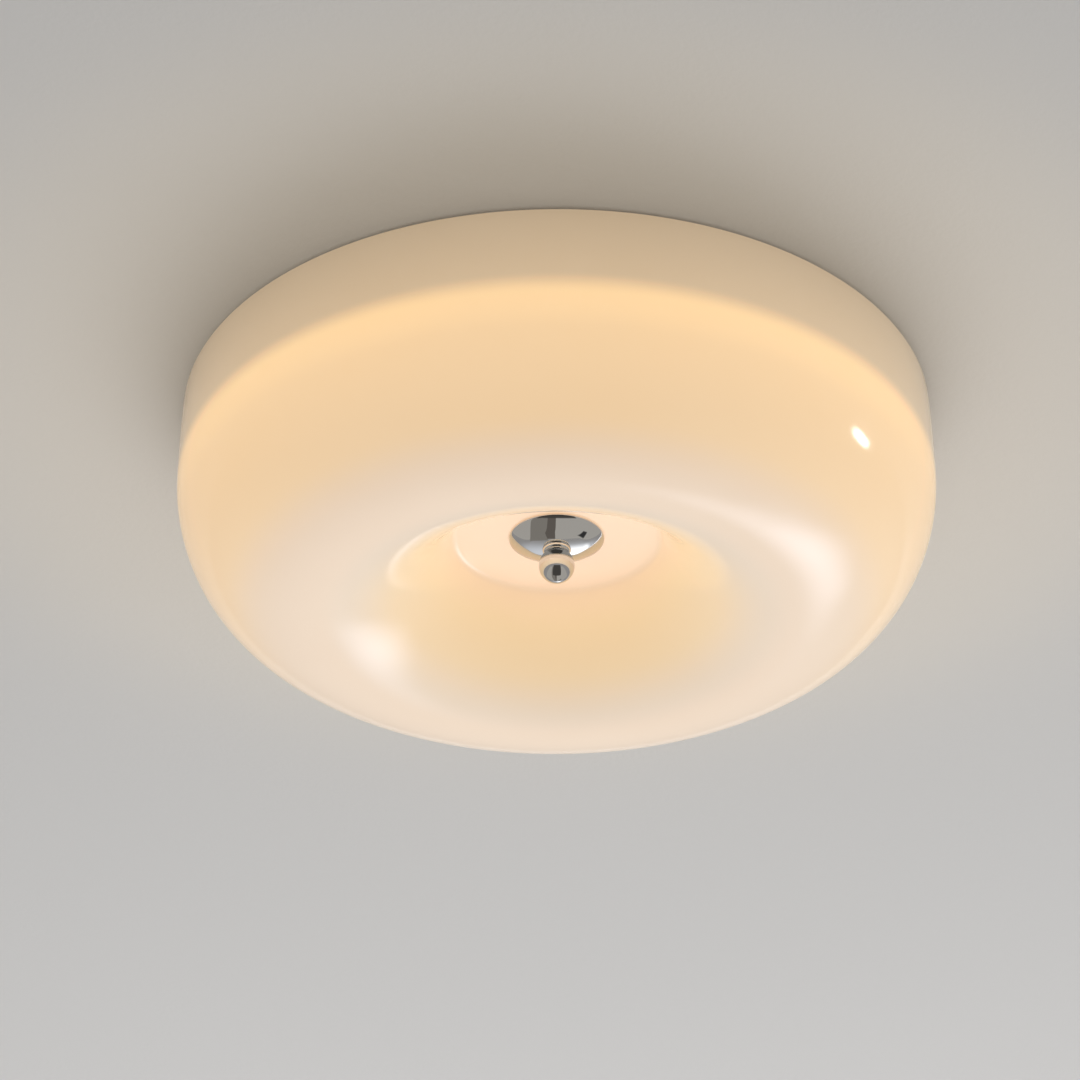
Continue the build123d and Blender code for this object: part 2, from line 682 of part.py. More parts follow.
collar_under_z = finial_top_z - collar_h
ball_top_z = collar_under_z - neck_h
ball_centre_z = ball_top_z - sqrt(ball_r**2 - neck_r**2)
finial_bore_end_z = rod_end_z - finial_bore_spare
with BuildPart() as finial_knob:
    with BuildSketch(Plane.XZ):
        with BuildLine():
            Line((nut_bore_r, finial_top_z), (collar_top_r, finial_top_z))
            ThreePointArc(
                (collar_top_r, finial_top_z),
                (collar_r, finial_top_z - collar_h / 2),
                (neck_r, collar_under_z),
            )
            Line((neck_r, collar_under_z), (neck_r, ball_top_z))
            ThreePointArc((neck_r, ball_top_z), (ball_r, ball_centre_z), (0, ball_centre_z - ball_r))
            Polyline(
                (0, ball_centre_z - ball_r),
                (0, finial_bore_end_z),
                (nut_bore_r, finial_bore_end_z),
                (nut_bore_r, finial_top_z),
            )
        make_face()
    revolve(axis=Axis.Z)

# ---- write each piece to its own file ----
pieces = {
    "ceiling_bracket": ceiling_bracket.part,
    "bracket_nuts": bracket_nuts.part,
    "chassis_pan": chassis_pan.part,
    "chassis_screws": chassis_screws,
    "chassis_washers": chassis_washers.part,
    "led_board": led_board.part,
    "led_chips": led_chips.part,
    "board_screws": board_screws,
    "board_connector": board_connector.part,
    "wire_grommet": wire_grommet.part,
    "led_driver": led_driver.part,
    "driver_studs": driver_studs.part,
    "driver_nuts": driver_nuts,
    "terminal_block": terminal_block.part,
    "terminal_screws": terminal_screws.part,
    "terminal_studs": terminal_studs.part,
    "terminal_nuts": terminal_nuts,
    "earth_stud": earth_stud.part,
    "earth_terminal": earth_terminal.part,
    "earth_nut": earth_nut,
    "line_wire": line_wire,
    "neutral_wire": neutral_wire,
    "earth_wire": earth_wire,
    "led_wire_positive": led_wire_positive,
    "led_wire_negative": led_wire_negative,
    "centre_rod": centre_rod,
    "rod_washer_upper": rod_washer_upper,
    "rod_nut_upper": rod_nut_upper,
    "rod_washer_lower": rod_washer_lower,
    "rod_nut_lower": rod_nut_lower,
    "spacer_sleeve": spacer_sleeve,
    "stop_disc": stop_disc,
    "glass_washer": glass_washer,
    "centring_bush": centring_bush,
    "glass_shade": glass_shade.part,
    "cap_disc": cap_disc.part,
    "cap_washer": cap_washer,
    "finial_washer": finial_washer,
    "finial_knob": finial_knob.part,
}
os.makedirs("parts", exist_ok=True)
for name, piece in pieces.items():
    piece.label = name
    export_step(piece, f"parts/{name}.step")
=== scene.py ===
"""Flush mount ceiling light: an opal glass bowl with a dished middle, lit warm from inside, held by a chrome
cap and a ball finial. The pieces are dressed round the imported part, in metres, +Z up, ceiling at z = 0."""
import math
from contextlib import contextmanager
from functools import cache

import bmesh
import bpy
from mathutils import Matrix, Vector


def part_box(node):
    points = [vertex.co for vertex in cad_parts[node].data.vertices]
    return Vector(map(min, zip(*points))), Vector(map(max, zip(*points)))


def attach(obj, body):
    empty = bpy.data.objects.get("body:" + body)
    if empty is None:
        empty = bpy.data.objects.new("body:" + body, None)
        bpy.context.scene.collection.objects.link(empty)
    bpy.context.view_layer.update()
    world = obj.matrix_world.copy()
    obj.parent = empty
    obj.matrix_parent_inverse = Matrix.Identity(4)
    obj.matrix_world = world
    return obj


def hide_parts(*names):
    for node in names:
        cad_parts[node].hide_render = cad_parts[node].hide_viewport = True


bl_info = {
    "name": "Flush Mount Ceiling Light",
    "version": (1, 0, 0),
    "blender": (4, 5, 0),
    "location": "3D View > Sidebar > Ceiling Light",
    "description": "Dresses a round opal ceiling light with its cap, finial, pan, LEDs and wiring",
    "category": "Object",
}

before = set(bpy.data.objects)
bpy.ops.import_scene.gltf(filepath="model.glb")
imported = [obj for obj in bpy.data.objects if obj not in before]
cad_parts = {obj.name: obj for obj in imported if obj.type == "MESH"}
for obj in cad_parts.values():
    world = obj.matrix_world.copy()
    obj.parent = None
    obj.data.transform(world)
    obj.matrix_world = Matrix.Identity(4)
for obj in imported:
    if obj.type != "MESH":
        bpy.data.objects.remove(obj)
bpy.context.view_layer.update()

CREASE = 35.0  # degrees, past which an edge stays sharp
THREAD_DEPTH = 0.58  # share of the pitch
ROD_PLAY = 0.0003  # between the rod's thread and what slides on it
STUD_RADIUS = 0.0015
LED_HALF = (0.0014, 0.00175)  # half the width and length of an LED
ROOM_TINT = (1.0, 0.985, 0.965)
BACKDROP_LEVEL = 0.86  # behind the floor, as the camera sees it
SKY_LEVEL = 0.95  # above the ceiling
MIRRORED_LEVEL = 0.34  # the room, as its reflections show it


# ---- settings ----

def length(name, description, default):
    """A length setting, in metres."""
    return bpy.props.FloatProperty(
        name=name, description=description, default=default, min=0.0, unit="LENGTH", precision=4
    )


def number(name, description, default, **options):
    """A plain setting."""
    return bpy.props.FloatProperty(name=name, description=description, default=default, **options)


def colour(name, description, default):
    """A colour setting, in linear red, green and blue."""
    return bpy.props.FloatVectorProperty(
        name=name, description=description, default=default, size=3, min=0.0, max=1.0, subtype="COLOR"
    )


class OpalGlassSettings(bpy.types.PropertyGroup):
    """Sizes and colours of the glass bowl."""

    shade_radius: length("Shade Radius", "Radius of the widest ring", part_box("glass_shade")[1].x)
    shade_depth: length("Shade Depth", "Ceiling down to the lowest ring", -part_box("glass_shade")[0].z)
    wall: length("Wall", "Thickness of the glass", 0.004)
    rim_gap: length("Rim Gap", "Ceiling to the edge of the glass", 0.002)
    rim_draw: length("Rim Draw", "How far the wall draws in towards the rim", 0.0012)
    widest_drop: length("Widest Drop", "Ceiling to the widest ring", 0.0465)
    crest_radius: length("Crest Radius", "Radius of the lowest ring", 0.1294)
    recess_depth: length("Recess Depth", "Lowest ring up to the floor of the recess", 0.0506)
    recess_half_width: length("Recess Half Width", "Half axis of the recess wall's ellipse, across", 0.0911)
    recess_half_height: length("Recess Half Height", "Half axis of the recess wall's ellipse, up", 0.1186)
    floor_corner: length("Floor Corner", "Radius where the recess wall meets its floor", 0.005)
    hole_radius: length("Hole Radius", "Hole for the rod in the middle of the floor", 0.008)
    segments: bpy.props.IntProperty(name="Segments", description="Steps round the axis", default=256, min=48)
    body_colour: colour("Body Colour", "The glass by daylight", (0.66, 0.61, 0.53))
    wall_glow: colour("Wall Glow", "Light through the wall just under the LED board", (0.64, 0.37, 0.125))
    belly_glow: colour("Belly Glow", "Light through the wall lower down", (0.48, 0.28, 0.095))
    # The lowest ring's glow is whiter than the wall's, partly as a painted reflection of the bright room
    # below.
    crest_glow: colour("Crest Glow", "Light through the lowest ring", (0.355, 0.235, 0.15))
    recess_tint: colour("Recess Tint", "What the recess wall keeps of that light", (0.90, 0.95, 1.0))
    floor_glow: colour("Floor Glow", "Light through the floor of the recess", (0.50, 0.295, 0.160))
    rim_glow: colour("Rim Glow", "Light through the glass above the LED board", (0.21, 0.125, 0.05))


class ChromeSettings(bpy.types.PropertyGroup):
    """Sizes and colour of the cap and the ball finial."""

    cap_radius: length("Cap Radius", "Radius of the domed cap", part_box("cap_disc")[1].x)
    cap_thickness: length("Cap Thickness", "Sheet of the cap", 0.0012)
    cap_apex: length("Cap Apex", "Ceiling down to the cap's lowest point", -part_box("finial_washer")[1].z)
    cap_top: length("Cap Top", "Ceiling down to the cap's edge", -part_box("cap_disc")[1].z)
    dome_radius: length("Dome Radius", "Radius of the cap's dome", 0.170)
    flat_radius: length("Flat Radius", "Where the dome starts to roll down to the rim", 0.014)
    roll_radius: length("Roll Radius", "Radius of that roll", 0.0259)
    edge_radius: length("Edge Radius", "Rounding of the rim", 0.0004)
    ball_radius: length("Ball Radius", "Radius of the finial's ball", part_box("finial_knob")[1].x)
    ball_drop: length("Ball Drop", "Ceiling down to the ball's lowest point", -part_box("finial_knob")[0].z)
    collar_top: length("Collar Top", "Ceiling down to the collar's top", -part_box("finial_knob")[1].z)
    chrome_colour: colour("Chrome Colour", "Reflectance of the plating", (0.70, 0.69, 0.685))


class ChassisSettings(bpy.types.PropertyGroup):
    """Sizes and colours of the pan, the board, the rod and the fasteners."""

    thread_radius: length("Rod Radius", "Outside of the rod's thread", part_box("centre_rod")[1].x)
    thread_pitch: length("Rod Pitch", "Pitch of the rod's thread", 0.001)
    led_rings: bpy.props.IntProperty(name="LED Rings", description="Rings of LEDs", default=3, min=1)
    led_pitch: length("LED Pitch", "Distance between LEDs in a ring", 0.022)
    board_bore: length("Board Bore", "Radius of the hole in the LED board", 0.062)
    zinc_colour: colour("Zinc Colour", "Bright zinc plate", (0.60, 0.61, 0.63))
    enamel_colour: colour("Enamel Colour", "White enamel of the pan", (0.80, 0.80, 0.78))
    phosphor_colour: colour("Phosphor Colour", "Window of an LED", (0.90, 0.62, 0.12))


class StageSettings(bpy.types.PropertyGroup):
    """Camera, ceiling, floor and light."""

    camera_distance: length("Camera Distance", "Camera to the middle of the ceiling face", 2.2002)
    camera_elevation: number(
        "Camera Elevation", "Angle of the camera's line to the ceiling", math.radians(32.76), subtype="ANGLE"
    )
    focal_length: number("Focal Length", "Lens, in millimetres, on a 36 mm sensor", 137.2)
    ceiling_colour: colour("Ceiling Colour", "Paint of the ceiling", (0.565, 0.56, 0.55))
    floor_colour: colour("Floor Colour", "Floor under the light", (0.78, 0.775, 0.765))
    floor_drop: length("Floor Drop", "Ceiling down to the floor", 2.4)
    room_level: number("Room Level", "Light from the room all round", 0.56)
    window_level: number("Window Level", "Light of the bright side", 4.7)


# ---- node trees ----

SOCKETS = {
    int: "NodeSocketInt", float: "NodeSocketFloat", tuple: "NodeSocketVector",
    "geometry": "NodeSocketGeometry", "material": "NodeSocketMaterial",
}
ORIGIN = (0.0, 0.0, 0.0)


def spaced(values):
    """Keyword arguments under the names that sockets have."""
    return {key.replace("_", " "): value for key, value in values.items()}


class Tree:
    """Adds nodes to one node tree and joins them as they are made."""

    def __init__(self, tree):
        self.tree = tree

    def feed(self, socket, value):
        """Joins a socket to another, or sets its value, a colour of three channels as an opaque one."""
        if isinstance(value, bpy.types.NodeSocket):
            self.tree.links.new(value, socket)
        elif socket.type == "RGBA" and len(value) == 3:
            socket.default_value = (*value, 1.0)
        else:
            socket.default_value = value

    def add(self, kind, inputs=None, **properties):
        """A new node, with its properties, and values or sockets for its inputs."""
        node = self.tree.nodes.new(kind)
        for key, value in properties.items():
            setattr(node, key, value)
        for key, value in (inputs or {}).items():
            self.feed(node.inputs[key], value)
        return node

    def out(self, kind, inputs=None, **properties):
        """The first output of a new node."""
        return self.add(kind, inputs, **properties).outputs[0]

    def group(self, tree, **inputs):
        """The outputs of a shader node group."""
        return self.add("ShaderNodeGroup", spaced(inputs), node_tree=tree).outputs

    def maths(self, operation, *values, clamp=False):
        return self.out("ShaderNodeMath", dict(enumerate(values)), operation=operation, use_clamp=clamp)

    def product(self, *values):
        return self.maths("MULTIPLY", *values)

    def difference(self, *values):
        return self.maths("SUBTRACT", *values)

    def spread(self, value, low, high, out_low=0.0, out_high=1.0, smooth=False):
        """value from low..high to out_low..out_high, held at both ends."""
        return self.out(
            "ShaderNodeMapRange", {0: value, 1: low, 2: high, 3: out_low, 4: out_high},
            interpolation_type="SMOOTHSTEP" if smooth else "LINEAR",
        )

    def level(self, factor, first, second):
        """Mixes two numbers."""
        return self.out("ShaderNodeMix", {0: factor, 2: first, 3: second}, data_type="FLOAT")

    def mix(self, factor, first, second, blend="MIX"):
        """Mixes two colours."""
        inputs = {0: factor, 6: first, 7: second}
        return self.add("ShaderNodeMix", inputs, data_type="RGBA", blend_type=blend).outputs[2]

    def tint(self, first, second):
        """Multiplies two colours."""
        return self.mix(1.0, first, second, blend="MULTIPLY")

    def noise(self, place, scale, detail=2.0, distortion=0.0):
        inputs = {"Vector": place, "Scale": scale, "Detail": detail, "Distortion": distortion}
        return self.out("ShaderNodeTexNoise", inputs)

    def vector(self, x=0.0, y=0.0, z=0.0):
        return self.out("ShaderNodeCombineXYZ", {0: x, 1: y, 2: z})

    def axes(self, place):
        return self.add("ShaderNodeSeparateXYZ", {0: place}).outputs

    def reach(self, place):
        """Distance from the origin."""
        return self.add("ShaderNodeVectorMath", {0: place}, operation="LENGTH").outputs["Value"]

    def from_axis(self, axes):
        """Distance from the Z axis."""
        return self.reach(self.vector(axes[0], axes[1]))

    def rays(self):
        return self.add("ShaderNodeLightPath").outputs

    def behind(self):
        """1 where a face is seen from behind."""
        return self.add("ShaderNodeNewGeometry").outputs["Backfacing"]

    def clear(self):
        return self.out("ShaderNodeBsdfTransparent")

    def glow(self, tint, strength=1.0):
        return self.out("ShaderNodeEmission", {"Color": tint, "Strength": strength})

    def either(self, share, first, second):
        """Mixes two shaders."""
        return self.out("ShaderNodeMixShader", {0: share, 1: first, 2: second})


class Finish(Tree):
    """The node tree of a new material, with its shader and the object coordinates as its place."""

    def __init__(self, name, **sockets):
        self.material = bpy.data.materials.new(name)
        self.material.use_nodes = True
        super().__init__(self.material.node_tree)
        self.shader = self.tree.nodes["Principled BSDF"]
        self.place = self.add("ShaderNodeTexCoord").outputs["Object"]
        self.set(**sockets)

    def set(self, **sockets):
        """Gives the shader's sockets values or other sockets."""
        for key, value in spaced(sockets).items():
            self.feed(self.shader.inputs[key], value)
        return self.material

    def grain(self, scale, cloud_scale):
        return self.group(fine_grain(), Vector=self.place, Grain_Scale=scale, Cloud_Scale=cloud_scale)

    def handled(self, clean, smudged, scale):
        """Uneven gloss, from clean to smudged."""
        marks = self.group(handling(), Vector=self.place, Clean=clean, Smudged=smudged, Smudge_Scale=scale)
        self.set(Roughness=marks["Roughness"])

    def bump(self, height, distance):
        inputs = {"Height": height, "Distance": distance, "Strength": 1.0}
        return self.set(Normal=self.out("ShaderNodeBump", inputs))

    def show(self, surface, alone=False):
        """Ends the material in another surface, alone if the shader has no share in it."""
        if alone:
            self.tree.nodes.remove(self.shader)
        self.feed(self.tree.nodes["Material Output"].inputs["Surface"], surface)
        return self.material


def new_group(name, kind, outputs, **inputs):
    """A node group with named sockets: its Tree, what it is given and where its results go."""
    tree = bpy.data.node_groups.new(name, kind)
    for key, default in spaced(inputs).items():
        plain = default not in ("geometry", "material")
        socket_type = SOCKETS[type(default) if plain else default]
        socket = tree.interface.new_socket(name=key, in_out="INPUT", socket_type=socket_type)
        if plain:
            socket.default_value = default
    for key, socket_type in outputs.items():
        tree.interface.new_socket(name=key, in_out="OUTPUT", socket_type=SOCKETS[socket_type])
    nodes = Tree(tree)
    return nodes, nodes.add("NodeGroupInput").outputs, nodes.add("NodeGroupOutput").inputs


@cache
def fine_grain():
    """Fine unevenness of a surface: a height for a Bump node, and a slow cloud for its colour."""
    nodes, given, result = new_group(
        "Fine Grain", "ShaderNodeTree", {"Height": float, "Cloud": float},
        Vector=ORIGIN, Grain_Scale=900.0, Cloud_Scale=25.0,
    )
    nodes.feed(result["Height"], nodes.noise(given["Vector"], given["Grain Scale"], 3.0))
    cloud = nodes.noise(given["Vector"], given["Cloud Scale"])
    nodes.feed(result["Cloud"], nodes.spread(cloud, 0.3, 0.7))
    return nodes.tree


@cache
def handling():
    """Smudges and hair scratches of a handled part, as a roughness between two levels."""
    nodes, given, result = new_group(
        "Handling", "ShaderNodeTree", {"Roughness": float},
        Vector=ORIGIN, Clean=0.05, Smudged=0.15, Smudge_Scale=120.0,
    )
    place, scale = given["Vector"], given["Smudge Scale"]
    smudge = nodes.noise(place, scale, 4.0, 0.6)
    lines = {"Vector": place, "Rotation": (0.4, 0.9, 0.3), "Scale": (9.0, 0.25, 1.0)}
    scratch = nodes.noise(nodes.out("ShaderNodeMapping", lines), scale)
    hair = nodes.spread(scratch, 0.66, 0.70, 0.0, 0.5)
    amount = nodes.maths("ADD", nodes.spread(smudge, 0.48, 0.72, smooth=True), hair, clamp=True)
    reach = nodes.difference(given["Smudged"], given["Clean"])
    nodes.feed(result["Roughness"], nodes.maths("MULTIPLY_ADD", amount, reach, given["Clean"]))
    return nodes.tree


@cache
def lathe_lines():
    """Fine rings that a lathe leaves round the Z axis: a height."""
    nodes, given, result = new_group(
        "Lathe Lines", "ShaderNodeTree", {"Height": float}, Vector=ORIGIN, Lines_per_Metre=3000.0
    )
    axes = nodes.axes(given["Vector"])
    along = nodes.product(nodes.maths("ADD", nodes.from_axis(axes), axes[2]), given["Lines per Metre"])
    inputs = {"W": along, "Scale": 1.0, "Detail": 2.0}
    nodes.feed(result["Height"], nodes.out("ShaderNodeTexNoise", inputs, noise_dimensions="1D"))
    return nodes.tree


# ---- finishes ----

@cache
def opal_glass():
    """Glossy cream opal glass. The light inside starts at the LED board, so the glass above that is dim."""
    glass = bpy.context.scene.opal_glass
    depth, widest, crest = glass.shade_depth, glass.widest_drop, glass.crest_radius
    nodes = Finish("Opal Glass", Roughness=0.09, IOR=1.5, Emission_Strength=1.0, Diffuse_Roughness=0.0)
    axes = nodes.axes(nodes.place)
    radius, drop = nodes.from_axis(axes), nodes.product(axes[2], -1.0)
    cloud = nodes.noise(nodes.place, 9.0)
    glow = nodes.mix(nodes.spread(drop, widest, depth * 0.88), glass.wall_glow, glass.belly_glow)
    # Painted light: towards the lowest ring the glow turns whiter, partly a painted reflection of the bright
    # room.
    glow = nodes.mix(nodes.spread(drop, depth * 0.86, depth, smooth=True), glow, glass.crest_glow)
    in_recess = nodes.spread(radius, crest - 0.022, crest - 0.005, 1.0, 0.0, smooth=True)
    glow = nodes.mix(in_recess, glow, nodes.tint(glow, glass.recess_tint))
    floor_edge = crest - glass.recess_half_width * 0.82
    on_floor = nodes.spread(radius, floor_edge - 0.006, floor_edge + 0.014, 1.0, 0.0, smooth=True)
    glow = nodes.mix(on_floor, glow, glass.floor_glow)
    outer_face = nodes.spread(radius, glass.shade_radius - 0.0032, glass.shade_radius - 0.0018, 0.25, 1.0)
    rim_rise = nodes.product(nodes.spread(drop, 0.0, widest, 0.85, 1.35), outer_face)
    lit = nodes.spread(drop, widest - 0.0065, widest + 0.0065, smooth=True)
    glow = nodes.mix(lit, nodes.tint(glass.rim_glow, rim_rise), glow)
    glow = nodes.tint(glow, nodes.spread(cloud, 0.3, 0.7, 0.975, 1.025))
    facing = nodes.out("ShaderNodeFresnel", {"IOR": 1.5})
    milky = [channel * 0.96 for channel in glass.body_colour]
    nodes.set(
        Emission_Color=nodes.tint(glow, nodes.difference(1.07, facing)),
        Base_Color=nodes.mix(nodes.spread(cloud, 0.35, 0.65), glass.body_colour, milky),
    )
    return nodes.bump(nodes.noise(nodes.place, 14.0, 1.0, 0.2), 0.0009)


@cache
def polished_chrome():
    """Bright chrome plate, a clean mirror."""
    tint = bpy.context.scene.chrome_fittings.chrome_colour
    return Finish("Polished Chrome", Base_Color=tint, Metallic=1.0, Roughness=0.0).material


@cache
def grained(name, base, depth, scale, cloud, **sockets):
    """A moulded or painted finish: a base colour with a slow cloud, and a fine grain in its bump."""
    nodes = Finish(name, **sockets)
    grain = nodes.grain(scale, 30.0)
    nodes.set(Base_Color=nodes.mix(grain["Cloud"], base, [channel * (1 - 2 * cloud) for channel in base]))
    return nodes.bump(grain["Height"], depth)


@cache
def plated(name, base, clean, smudged):
    """Bright plate over pressed metal, with uneven colour and gloss."""
    nodes = Finish(name, Metallic=1.0)
    grain = nodes.grain(1600.0, 70.0)
    warm = (base[0] * 1.04, base[1], base[2] * 0.90)
    nodes.set(Base_Color=nodes.mix(grain["Cloud"], base, warm))
    nodes.handled(clean, smudged, 220.0)
    return nodes.bump(grain["Height"], 0.00003)


def zinc_plate():
    return plated("Zinc Plate", tuple(bpy.context.scene.lamp_chassis.zinc_colour), 0.24, 0.42)


@cache
def turned_steel():
    """Zinc plate on a turned part, with the tool's rings."""
    nodes = Finish("Turned Steel", Metallic=1.0, Base_Color=bpy.context.scene.lamp_chassis.zinc_colour)
    nodes.handled(0.2, 0.38, 200.0)
    lines = nodes.group(lathe_lines(), Vector=nodes.place, Lines_per_Metre=4200.0)
    return nodes.bump(lines["Height"], 0.00004)


@cache
def solder_mask():
    """White solder mask of the board, a little raised over the copper that joins the LEDs in rings."""
    chassis = bpy.context.scene.lamp_chassis
    nodes = Finish("Solder Mask", Roughness=0.3, Coat_Weight=0.2)

    def from_middle(value):
        """How far a value that counts cells is from the middle of its cell."""
        return nodes.maths("ABSOLUTE", nodes.difference(nodes.maths("FRACT", value), 0.5))

    axes = nodes.axes(nodes.place)
    step = (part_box("led_board")[1].x - chassis.board_bore) / chassis.led_rings
    across = nodes.maths("DIVIDE", nodes.difference(nodes.from_axis(axes), chassis.board_bore), step)
    along = nodes.product(nodes.maths("ARCTAN2", axes[1], axes[0]), 16 / math.pi)
    ring = nodes.spread(from_middle(across), 0.30, 0.32, 1.0, 0.0)
    copper = nodes.maths("SUBTRACT", ring, nodes.spread(from_middle(along), 0.47, 0.49), clamp=True)
    nodes.set(Base_Color=nodes.mix(copper, (0.76, 0.77, 0.76), (0.84, 0.84, 0.82)))
    return nodes.bump(copper, 0.00008)


@cache
def phosphor():
    """Lit window of an LED, brighter to the camera. No light is aimed from it through the glass."""
    nodes = Finish(
        "LED Phosphor", Base_Color=bpy.context.scene.lamp_chassis.phosphor_colour, Roughness=0.25,
        Emission_Color=(1.0, 0.80, 0.52),
    )
    nodes.material.cycles.emission_sampling = "NONE"
    nodes.set(Emission_Strength=nodes.maths("MULTIPLY_ADD", nodes.rays()["Is Camera Ray"], 9.0, 3.0))
    return nodes.bump(nodes.grain(4000.0, 900.0)["Height"], 0.00002)


@cache
def striped_insulation():
    """Green insulation with yellow stripes along the wire, as on an earth lead."""
    nodes = Finish("Earth Insulation", Roughness=0.34)
    inputs = {"Vector": nodes.place, "Scale": 90.0, "Distortion": 0.0}
    stripes = nodes.add("ShaderNodeTexWave", inputs, wave_type="BANDS", bands_direction="Z").outputs["Fac"]
    return nodes.set(
        Base_Color=nodes.mix(nodes.spread(stripes, 0.45, 0.5), (0.04, 0.22, 0.05), (0.72, 0.58, 0.03))
    )


# ---- trees that make pieces ----

class Maker(Tree):
    """A Geometry Nodes tree with named inputs, which ends in Realize Instances and Set Material."""

    def __init__(self, name, **inputs):
        nodes, self.given, self.result = new_group(
            name, "GeometryNodeTree", {"Geometry": "geometry"},
            Geometry="geometry", **inputs, Material="material",
        )
        super().__init__(nodes.tree)
        self.tree.is_modifier = True
        self.geometry = self.given["Geometry"]

    def node(self, kind, properties=None, **inputs):
        """The first output of a new Geometry Nodes node."""
        return self.out("GeometryNode" + kind, spaced(inputs), **(properties or {}))

    def values(self, *keys):
        return [self.given[key] for key in keys]

    def close(self, geometry, crease=CREASE):
        """Welds the geometry, smooths it but for its sharp edges and gives it its material."""
        whole = self.node("RealizeInstances", Geometry=geometry)
        merged = self.node("MergeByDistance", Geometry=whole, Distance=1e-6)
        smooth = self.node("SetShadeSmooth", Geometry=merged)
        angle = self.add("GeometryNodeInputMeshEdgeAngle").outputs["Unsigned Angle"]
        inputs = {"A": angle, "B": math.radians(crease)}
        sharp = self.out("FunctionNodeCompare", inputs, data_type="FLOAT", operation="GREATER_THAN")
        creased = self.node("SetShadeSmooth", {"domain": "EDGE"}, Geometry=smooth, Selection=sharp,
                            Shade_Smooth=False)
        real = self.node("RealizeInstances", Geometry=creased)
        done = self.node("SetMaterial", Geometry=real, Material=self.given["Material"])
        self.feed(self.result["Geometry"], done)
        return self.tree


@cache
def turned_tree():
    """Turns an outline of edges in the XZ plane round the Z axis."""
    nodes = Maker("Turned Piece", Segments=96)
    outline = nodes.node("MeshToCurve", Mesh=nodes.geometry)
    lathe = nodes.node("CurvePrimitiveCircle", Resolution=nodes.given["Segments"], Radius=1.0)
    return nodes.close(nodes.node("CurveToMesh", Curve=lathe, Profile_Curve=outline))


@cache
def thread_tree():
    """A ridge that winds up a bar round the Z axis."""
    nodes = Maker("Screw Thread", Radius=0.005, Pitch=0.001, Top=0.0, Bottom=-0.05, Steps_per_Turn=28)
    radius, pitch, top, bottom, steps = nodes.values("Radius", "Pitch", "Top", "Bottom", "Steps per Turn")
    height = nodes.difference(top, bottom)
    turns = nodes.maths("DIVIDE", height, pitch)
    core = nodes.maths("MULTIPLY_ADD", pitch, -THREAD_DEPTH, radius)
    helix = nodes.node(
        "CurveSpiral", Resolution=steps, Rotations=turns, Start_Radius=core, End_Radius=core, Height=height
    )
    upright = nodes.node("SetCurveNormal", {"mode": "Z_UP"}, Curve=helix)
    section = ((0.0, -0.46), (0.56, -0.07), (0.56, 0.07), (0.0, 0.46))  # out and along, in pitches
    corners = {
        f"Point_{number}": nodes.vector(nodes.product(pitch, along), nodes.product(pitch, out))
        for number, (out, along) in enumerate(section, 1)
    }
    ridge = nodes.node("CurvePrimitiveQuadrilateral", {"mode": "POINTS"}, **corners)
    swept = nodes.node("CurveToMesh", Curve=upright, Profile_Curve=ridge, Fill_Caps=True)
    placed_ridge = nodes.node("Transform", Geometry=swept, Translation=nodes.vector(z=bottom))
    bar = nodes.add("GeometryNodeJoinGeometry")
    for part in (placed_ridge, nodes.geometry):
        nodes.feed(bar.inputs[0], part)
    return nodes.close(bar.outputs[0], crease=25.0)


@cache
def recess_tree():
    """Sinks a driver's cross into the underside of a screw's head."""
    nodes = Maker("Cross Recess", Reach=0.003, Width=0.0006, Depth=0.001, Underside=0.0)
    reach, width, depth, underside = nodes.values("Reach", "Width", "Depth", "Underside")
    cut = nodes.add("GeometryNodeMeshBoolean", {0: nodes.geometry}, operation="DIFFERENCE", solver="EXACT")
    tall, under = nodes.product(depth, 2.0), nodes.vector(z=underside)
    for across, along in ((reach, width), (width, reach)):
        arm = nodes.node("MeshCube", Size=nodes.vector(across, along, tall))
        nodes.feed(cut.inputs[1], nodes.node("Transform", Geometry=arm, Translation=under))
    return nodes.close(cut.outputs[0])


@cache
def ring_tree():
    """Repeats one part round the Z axis, each turned to face away from it."""
    nodes = Maker("Ring of Parts", Count=6, Radius=0.1, Start_Angle=0.0)
    count, radius, start = nodes.values("Count", "Radius", "Start Angle")
    spots = nodes.node("MeshCircle", Vertices=count, Radius=radius)
    turn = nodes.product(nodes.node("InputIndex"), nodes.maths("DIVIDE", 2 * math.pi, count))
    parts = nodes.node(
        "InstanceOnPoints", Points=spots, Instance=nodes.geometry, Rotation=nodes.vector(z=turn)
    )
    return nodes.close(nodes.node("Transform", Geometry=parts, Rotation=nodes.vector(z=start)))


@cache
def row_tree():
    """Repeats one part in a straight row along X."""
    nodes = Maker("Row of Parts", Count=3, Spacing=0.01, Start=ORIGIN)
    count, spacing, start = nodes.values("Count", "Spacing", "Start")
    spots = nodes.node("MeshLine", Count=count, Start_Location=start, Offset=nodes.vector(spacing))
    return nodes.close(nodes.node("InstanceOnPoints", Points=spots, Instance=nodes.geometry))


# ---- meshes and objects ----

def heights(node):
    """The lowest and the highest level of a CAD node."""
    return [corner.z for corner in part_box(node)]


def placed(name, data):
    """A new object in the scene."""
    thing = bpy.data.objects.new(name, data)
    bpy.context.scene.collection.objects.link(thing)
    return thing


def run_tree(tree, mesh, **values):
    """The plain mesh that a Geometry Nodes tree makes of a mesh, with the one material its faces have."""
    holder = placed(tree.name, mesh)
    modifier = holder.modifiers.new(tree.name, "NODES")
    modifier.node_group = tree
    values = spaced(values)
    for item in tree.interface.items_tree:
        if item.item_type == "SOCKET" and item.in_out == "INPUT" and item.name in values:
            modifier[item.identifier] = values[item.name]
    result = bpy.data.meshes.new_from_object(holder.evaluated_get(bpy.context.evaluated_depsgraph_get()))
    bpy.data.objects.remove(holder)
    shown = result.materials[result.polygons[0].material_index] if result.materials else None
    result.materials.clear()
    if shown:
        result.materials.append(shown)
    result.polygons.foreach_set("material_index", [0] * len(result.polygons))
    return result


